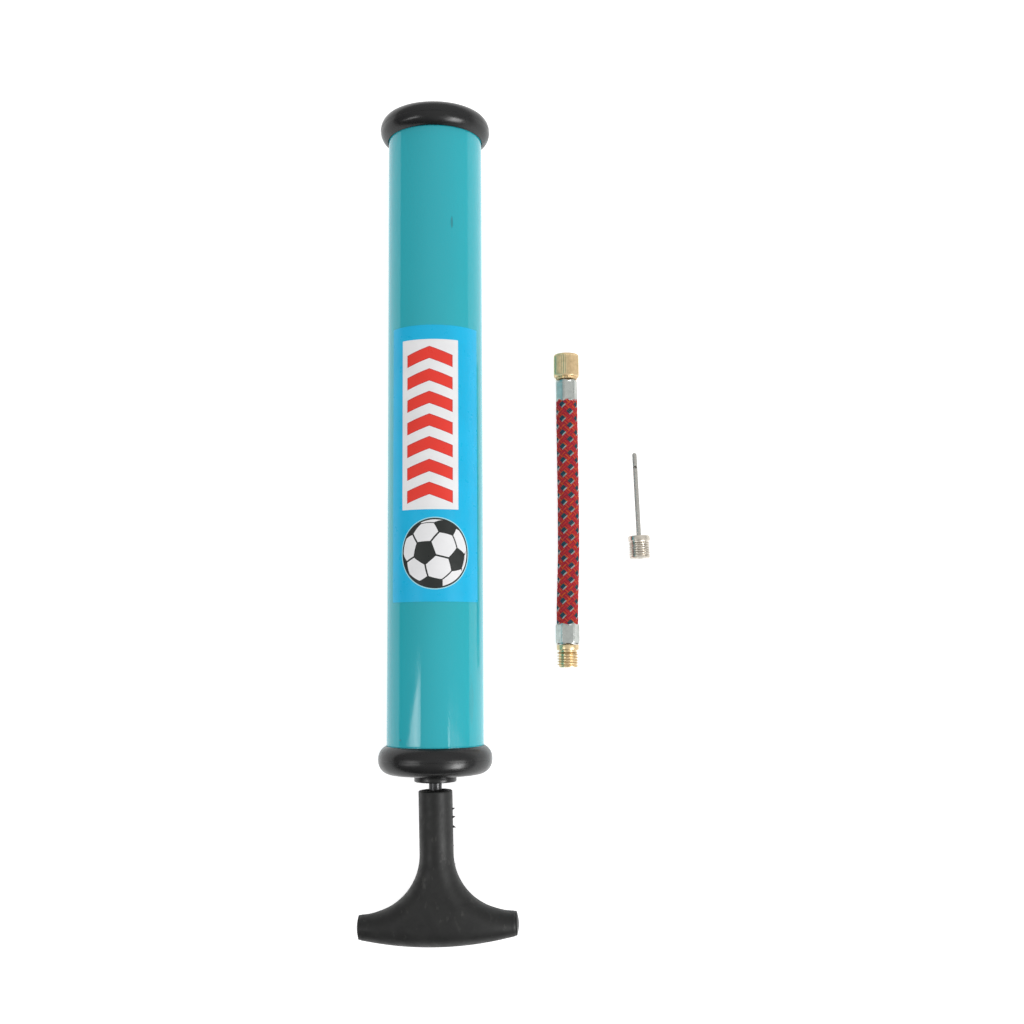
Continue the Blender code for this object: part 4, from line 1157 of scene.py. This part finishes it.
def build_handle(looks):
    """The moulded T-handle, lofted from its neck to its bar, with a counterbore and a bore for the rod."""
    rings = [handle_ring(*section) for section in handle_sections()]
    count = len(rings[0])
    angles = np.arctan2(rings[3][:, 1], rings[3][:, 0])
    bore = []
    for radius, along in HANDLE_BORE_MM:
        circle_points = np.stack([np.cos(angles), np.sin(angles), np.zeros(count)], axis=1) * radius * MM
        circle_points[:, 2] = -along * MM
        bore.append([tuple(p) for p in circle_points])
    points = [p for ring in bore for p in ring]
    points += [p for ring in rings for p in lean(ring)]
    total = len(bore) + len(rings)
    faces = []
    for k in range(total - 1):
        for i in range(count):
            j = (i + 1) % count
            faces.append((k * count + i, k * count + j, (k + 1) * count + j, (k + 1) * count + i))
    faces.append(tuple(range(count)))
    last = (total - 1) * count
    lower = last + 2 * PER_HALF + SEAM_POINTS - 1
    for i in range(PER_HALF - 1):
        faces.append((last + i, last + i + 1, lower - i - 1, lower - i))
    left = last + PER_HALF - 1
    faces.append(tuple(range(left, left + SEAM_POINTS + 2)))
    faces.append(tuple(range(lower, lower + SEAM_POINTS + 1)) + (last,))
    points, faces = add_burrs(points, faces)
    matrix = on_pump(station_of("rod_guide_bush", 0) - HANDLE_GAP)
    handle = add_object("handle", mesh_from("handle", points, faces, [looks["handle_grey"]]), matrix)
    finished(handle, "rod_and_handle", "charcoal_handle", "t_handle")


# (distance from the neck's start, size, tilt) of each, in millimetres
BURRS = ((6.6, 0.95, -0.3), (9.4, 1.05, -0.2), (12.4, 1.15, 0.45), (19.0, 0.45, 0.2), (25.2, 0.45, 0.1))


def add_burrs(points, faces):
    """Small torn teeth of flash on the right side of the neck."""
    for along, size, tilt in BURRS:
        half_width = NECK_R
        if along * MM > NECK_LENGTH:
            half_width += FLARE_R * (1 - math.sqrt(1 - ((along * MM - NECK_LENGTH) / FLARE_R) ** 2))
        base = half_width - 0.3 * MM
        tip = half_width + size * MM
        wide = 0.55 * size
        corners = [
            (base, -0.22 * MM, -(along - wide) * MM),
            (base, 0.22 * MM, -(along - wide) * MM),
            (base, 0.22 * MM, -(along + wide) * MM),
            (base, -0.22 * MM, -(along + wide) * MM),
            (0.5 * (base + tip), 0.0, -(along + 0.35 * wide) * MM),
            (tip, 0.0, -(along + tilt * wide * 2) * MM),
        ]
        start = len(points)
        points = points + lean(corners)
        for face in ((0, 1, 5), (1, 4, 5), (1, 2, 4), (2, 3, 4), (3, 0, 5), (3, 5, 4), (3, 2, 1, 0)):
            faces = faces + [tuple(start + v for v in face)]
    return points, faces


# Needle


NEEDLE_TURN = math.radians(2.1)
NEEDLE_SHOWN = 31.0 * MM
NEEDLE_HOLE_R = 0.5 * MM
NEEDLE_HOLE_FROM_TIP = 5.5 * MM


def build_needle(looks):
    """The threaded hub and the hollow tube with its side hole, lying on the table."""
    turn = NEEDLE_TURN
    hub_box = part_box("needle_hub")
    hub_length, flange = 8.3 * MM, 1.9 * MM
    flange_r = 3.975 * MM
    hub_middle = (hub_box[0] + hub_box[1]) / 2
    direction = Vector((-math.sin(turn), math.cos(turn), 0))
    matrix = Matrix.Translation(hub_middle - direction * hub_length / 2)
    matrix = matrix @ Matrix.Rotation(turn, 4, "Z") @ LYING
    seat = NEEDLE_R + 0.04 * MM
    groove = hub_length - flange
    profile = [(seat, 0.05 * MM), (seat + 0.25 * MM, 0.0)]
    profile += [(THREAD_R - 0.45 * MM, 0.0), (THREAD_R - 0.1 * MM, 0.35 * MM)]
    profile += run(THREAD_R, 0.4 * MM, THREAD_R, groove - 0.75 * MM, 60)
    profile += [(THREAD_R - 0.45 * MM, groove - 0.6 * MM), (THREAD_R - 0.45 * MM, groove - 0.1 * MM)]
    profile += [(THREAD_R - 0.4 * MM, groove), (flange_r - 0.12 * MM, groove), (flange_r, groove + 0.12 * MM)]
    profile += arc(flange_r - 0.4 * MM, hub_length - 0.4 * MM, 0.4 * MM, 0, 90, 5)
    profile += [(seat + 0.35 * MM, hub_length), (seat, hub_length - 0.2 * MM)]
    thread = thread_shape(0.88 * MM, 0.42 * MM, 0.2 * MM, groove - 0.6 * MM)

    def shape(r, z, angle):
        threaded = r[0] > THREAD_R - 0.02 * MM and z[0] < groove - 0.7 * MM
        return thread(r, z, angle) if threaded else (r, z)

    hub = turned("needle_base", profile, looks["nickel"], matrix, 128, shape)
    finished(hub, "needle", "nickel_hub", "needle_hub")

    tip = hub_length + NEEDLE_SHOWN
    bore = 0.5 * MM
    tube = [(0.0, tip)] + arc(0.0, tip - NEEDLE_R, NEEDLE_R, 80, 0, 8)
    tube += run(NEEDLE_R, tip - 1.2 * NEEDLE_R, NEEDLE_R, 0.8 * MM, 30)
    tube += [(bore, 0.8 * MM), (bore, tip - 1.4 * MM), (0.0, tip - 1.4 * MM)]
    needle = turned("needle_shaft", tube, looks["needle_steel"], matrix, 48)
    cut_needle_hole(needle, matrix, tip - NEEDLE_HOLE_FROM_TIP)
    finished(needle, "needle", "needle_steel", "needle_tube")


def cut_needle_hole(needle, matrix, height):
    """The side hole near the tip, on the upper side."""
    shape = bmesh.new()
    bmesh.ops.create_cone(
        shape, cap_ends=True, segments=32, radius1=NEEDLE_HOLE_R, radius2=NEEDLE_HOLE_R, depth=2 * NEEDLE_R
    )
    mesh = bpy.data.meshes.new("hole")
    shape.to_mesh(mesh)
    shape.free()
    cutter = add_object("hole", mesh)
    cutter.matrix_world = matrix @ Matrix.Translation((0, -NEEDLE_R, height)) @ FACING_BACK
    boolean = needle.modifiers.new("hole", "BOOLEAN")
    boolean.operation = "DIFFERENCE"
    boolean.object = cutter
    bpy.context.view_layer.update()
    applied(needle)
    bpy.data.objects.remove(cutter)


# Pieces inside the pump, turned again with finer edges


# (piece, node, radius, bore, edge, material and slot, body) of each
WASHERS_MM = (
    ("cap_buffer", "buffer_washer", 7.0, 2.55, 0.5, "black_rubber", "barrel"),
    ("valve_cage_ring", "valve_retainer", 3.75, 0.9, 0.15, "brass", "barrel"),
    ("piston_front_plate", "piston_front_disc", 14.15, 2.3, 0.5, "white_plastic", "piston"),
    ("piston_back_plate", "piston_back_disc", 15.6, 2.3, 0.5, "white_plastic", "piston"),
    ("rod_washer", "piston_washer", 4.5, 2.3, 0.12, "steel", "rod_and_handle"),
)


def build_inner_pieces(looks):
    def at(node):
        return on_pump(station_of(node, 0))

    def span(node):
        return station_of(node, 1) - station_of(node, 0)

    for name, node, radius, bore, edge, look, body in WASHERS_MM:
        piece = disc(name, radius * MM, bore * MM, span(node), edge * MM, looks[look], at(node))
        finished(piece, body, look, node)

    lip, web, depth = 1.6 * MM, 2.0 * MM, 8.0 * MM
    cup_r = TUBE_R - TUBE_WALL - 0.15 * MM
    cup = arc(cup_r - 0.7 * MM, 0.7 * MM, 0.7 * MM, -90, 0, 5) + [(cup_r - 0.15 * MM, 0.5 * depth)]
    cup += [(cup_r, depth - 0.6 * MM), (cup_r - 0.5 * MM, depth)]
    cup += [(cup_r - lip, web + 0.5 * MM)] + arc(cup_r - lip - 0.5 * MM, web + 0.5 * MM, 0.5 * MM, 0, -90, 4)
    cup += [(2.3 * MM, web), (2.3 * MM, 0.0)]
    piece = turned("piston_seal", cup, looks["black_rubber"], at("piston_cup"), 128)
    finished(piece, "piston", "black_rubber", "piston_cup")

    ring_middle = (station_of("outlet_cap_o_ring", 0) + station_of("outlet_cap_o_ring", 1)) / 2
    ring = arc(15.25 * MM, 0.0, 0.8 * MM, 0, 345, 23)
    piece = turned("cap_seal_ring", ring, looks["black_rubber"], on_pump(ring_middle), 128)
    finished(piece, "barrel", "black_rubber", "outlet_cap_o_ring")


def paint_kept_nodes(looks):
    """The nodes whose own shape is right get their procedural material."""
    for node, look in (("valve_ball", "steel"), ("valve_spring", "steel"), ("piston_nut", "steel")):
        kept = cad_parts[node]
        kept.data.materials.clear()
        kept.data.materials.append(looks[look])


# Colours of the sticker's film and inks, and the film's and inks' roughness
PRINTS = {
    "sticker_blue": ("sticker_blue_film", (0.004, 0.515, 0.855), 0.32),
    "sticker_white": ("sticker_white_ink", (0.94, 0.94, 0.95), 0.34),
    "sticker_red": ("sticker_red_ink", (0.90, 0.045, 0.028), 0.34),
    "sticker_dark_red": ("sticker_dark_red_ink", (0.62, 0.03, 0.03), 0.34),
    "sticker_halo": ("sticker_pale_ink", (0.42, 0.80, 0.90), 0.34),
    "sticker_black": ("sticker_black_ink", (0.018, 0.022, 0.020), 0.34),
    "sticker_grey": ("sticker_grey_ink", (0.92, 0.92, 0.93), 0.34),
}
# Each metal's clean and tarnished colours, its roughness and, where they differ, its mark sizes
METALS = {
    "brass": ((0.68, 0.52, 0.305), (0.38, 0.28, 0.155), 0.36),
    "pale_brass": ((0.68, 0.53, 0.31), (0.38, 0.28, 0.155), 0.32),
    "zinc": ((0.44, 0.465, 0.44), (0.26, 0.28, 0.26), 0.28, 2.0 * MM, 0.5 * MM),
    "nickel": ((0.60, 0.555, 0.485), (0.28, 0.25, 0.21), 0.26),
    "needle_steel": ((0.44, 0.43, 0.40), (0.22, 0.21, 0.19), 0.26, 1.0 * MM, 0.6 * MM),
    "steel": ((0.62, 0.62, 0.63), (0.34, 0.34, 0.35), 0.28),
}
# Each yarn's two colours and, where it differs, how strongly its fibres show
YARN_COLOURS = {
    "crimson_yarn": ((0.56, 0.020, 0.035), (0.42, 0.012, 0.05)),
    "scarlet_yarn": ((0.72, 0.050, 0.030), (0.58, 0.025, 0.04)),
    "orange_yarn": ((0.78, 0.125, 0.018), (0.68, 0.05, 0.03)),
    "teal_yarn": ((0.012, 0.075, 0.085), (0.02, 0.12, 0.10)),
    "navy_yarn": ((0.015, 0.035, 0.11), (0.02, 0.06, 0.14)),
    "pale_yarn": ((0.52, 0.56, 0.56), (0.30, 0.36, 0.36), 0.2),
}


def make_looks():
    looks = {
        "enamel": enamel_look(),
        "cap_black": black_plastic_look("cap_black", (0.004, 0.0042, 0.0045), 0.26),
        "handle_grey": handle_look(),
        "rod_black": rod_look(),
        "black_rubber": rubber_look(),
        "white_plastic": white_plastic_look(),
    }
    for look, values in PRINTS.items():
        looks[look] = print_look(*values)
    for look, values in METALS.items():
        looks[look] = metal_look(look, *values)
    for look, values in YARN_COLOURS.items():
        looks[look] = yarn_look(look, *values)
    return looks


# Surroundings


FLOOR_GLOW = 0.62
FLOOR_REACH = 3.0
FLOOR_HEIGHT = -0.1 * MM
TENT_BASE = 0.42
# How much brighter the tent is towards +X, +Y and overhead
TENT_SLOPES = (("X", 0.16), ("Y", 0.25), ("Z", 0.45))
LIT_POINT = Vector((AXIS_X, STATION_0 + 16 * MM, AXIS_HEIGHT))
LIGHT_DISTANCE = 0.9
KEY_SIZE = (0.36, 0.56)
KEY_ENERGY = 1.6
KEY_PLACE = (50, -12)
# The left softbox: (side, upper end) of each panel's edges, in degrees, and each panel's radiance
LEFT_EDGES = ((-31, 0.0), (-37, -0.6), (-48, -2.3), (-58, -3.9), (-68, -5.1))
LEFT_RADIANCES = (4.8, 7.0, 5.4, 2.7)
LEFT_LOWER_END = -12


def build_floor():
    """A plain white table top, bright enough to show as white."""
    look = Look("white_table", (0.9, 0.9, 0.9), 0.55)
    tone = look.noise(80 * MM, 2.0)
    look.put("Base Color", look.mix(tone, (0.88, 0.88, 0.88), (0.92, 0.92, 0.92)))
    look.put("Emission Color", (1.0, 1.0, 1.0, 1.0))
    look.put("Emission Strength", FLOOR_GLOW)
    mesh = bpy.data.meshes.new("table_top")
    corners = [(x * FLOOR_REACH, y * FLOOR_REACH, 0) for x, y in ((-1, -1), (1, -1), (1, 1), (-1, 1))]
    mesh.from_pydata(corners, [], [(0, 1, 2, 3)])
    mesh.materials.append(look.material)
    floor = add_object("table_top", mesh)
    floor.location.z = FLOOR_HEIGHT


def build_world():
    """A white light tent: brightest overhead, and brighter towards the right and past the outlet."""
    world = bpy.data.worlds.new("tent")
    world.use_nodes = True
    bpy.context.scene.world = world
    tree = world.node_tree
    coords = tree.nodes.new("ShaderNodeTexCoord")
    split = tree.nodes.new("ShaderNodeSeparateXYZ")
    tree.links.new(coords.outputs["Generated"], split.inputs[0])
    total = None
    for axis, amount in TENT_SLOPES:
        part = tree.nodes.new("ShaderNodeMath")
        part.operation = "MULTIPLY_ADD"
        part.inputs[1].default_value = amount
        part.inputs[2].default_value = TENT_BASE if total is None else 0.0
        tree.links.new(split.outputs[axis], part.inputs[0])
        if total is not None:
            tree.links.new(total, part.inputs[2])
        total = part.outputs[0]
    background = tree.nodes["Background"]
    background.inputs["Color"].default_value = (1, 1, 1, 1)
    tree.links.new(total, background.inputs["Strength"])


def towards(side, along):
    """A direction, in degrees from up towards +X and then towards the outlet end."""
    a, b = math.radians(side), math.radians(along)
    return Vector((math.sin(a) * math.cos(b), math.sin(b), math.cos(a) * math.cos(b)))


def light_panel(name, corners, radiance):
    """A glowing panel that is seen in gloss only. Its corners are directions from the barrel's lower end."""
    look = Look(name, (0, 0, 0), 0.5)
    look.put("Emission Color", (1.0, 1.0, 1.0, 1.0))
    look.put("Emission Strength", radiance)
    mesh = bpy.data.meshes.new(name)
    mesh.from_pydata([LIT_POINT + towards(*c) * LIGHT_DISTANCE for c in corners], [], [(0, 1, 2, 3)])
    mesh.materials.append(look.material)
    panel = add_object(name, mesh)
    panel.visible_camera = False
    panel.visible_diffuse = False
    panel.visible_shadow = False


def build_key_light():
    """The right softbox's share of the even light."""
    data = bpy.data.lights.new("key_light", "AREA")
    data.shape = "RECTANGLE"
    data.size, data.size_y = KEY_SIZE
    data.energy = KEY_ENERGY
    made = add_object("key_light", data)
    direction = towards(*KEY_PLACE)
    rotation = direction.to_track_quat("Z", "Y").to_matrix().to_4x4()
    made.matrix_world = Matrix.Translation(LIT_POINT + direction * LIGHT_DISTANCE) @ rotation
    made.visible_camera = False
    made.visible_glossy = False


def build_lights():
    """Softboxes on both sides. Their panels' upper ends shape the highlights at the barrel's lower end."""
    edges = zip(LEFT_EDGES, LEFT_EDGES[1:], LEFT_RADIANCES)
    for k, ((near, near_top), (far, far_top), radiance) in enumerate(edges):
        corners = [(near, near_top), (far, far_top), (far, LEFT_LOWER_END), (near, LEFT_LOWER_END)]
        light_panel(f"left_panel_{k}", corners, radiance)
    light_panel("right_strip", [(33, -3.5), (37, -3.9), (37, -6), (33, -6)], 6.0)
    light_panel("right_upper_panel", [(37, -3.0), (80, -5.2), (80, -6.5), (37, -6.5)], 1.9)
    light_panel("right_panel", [(36, -6.5), (62, -6.5), (62, -40), (36, -40)], 12.0)
    build_key_light()


def build_all():
    looks = make_looks()
    build_camera()
    build_hose_group(looks)
    finished(build_tube(looks["enamel"]), "barrel", "teal_barrel", "barrel_tube")
    build_sticker(looks)
    build_caps(looks)
    build_rod(looks)
    build_handle(looks)
    build_needle(looks)
    build_inner_pieces(looks)
    paint_kept_nodes(looks)
    build_floor()
    build_world()
    build_lights()
    bpy.context.scene.view_settings.view_transform = "Standard"


build_all()
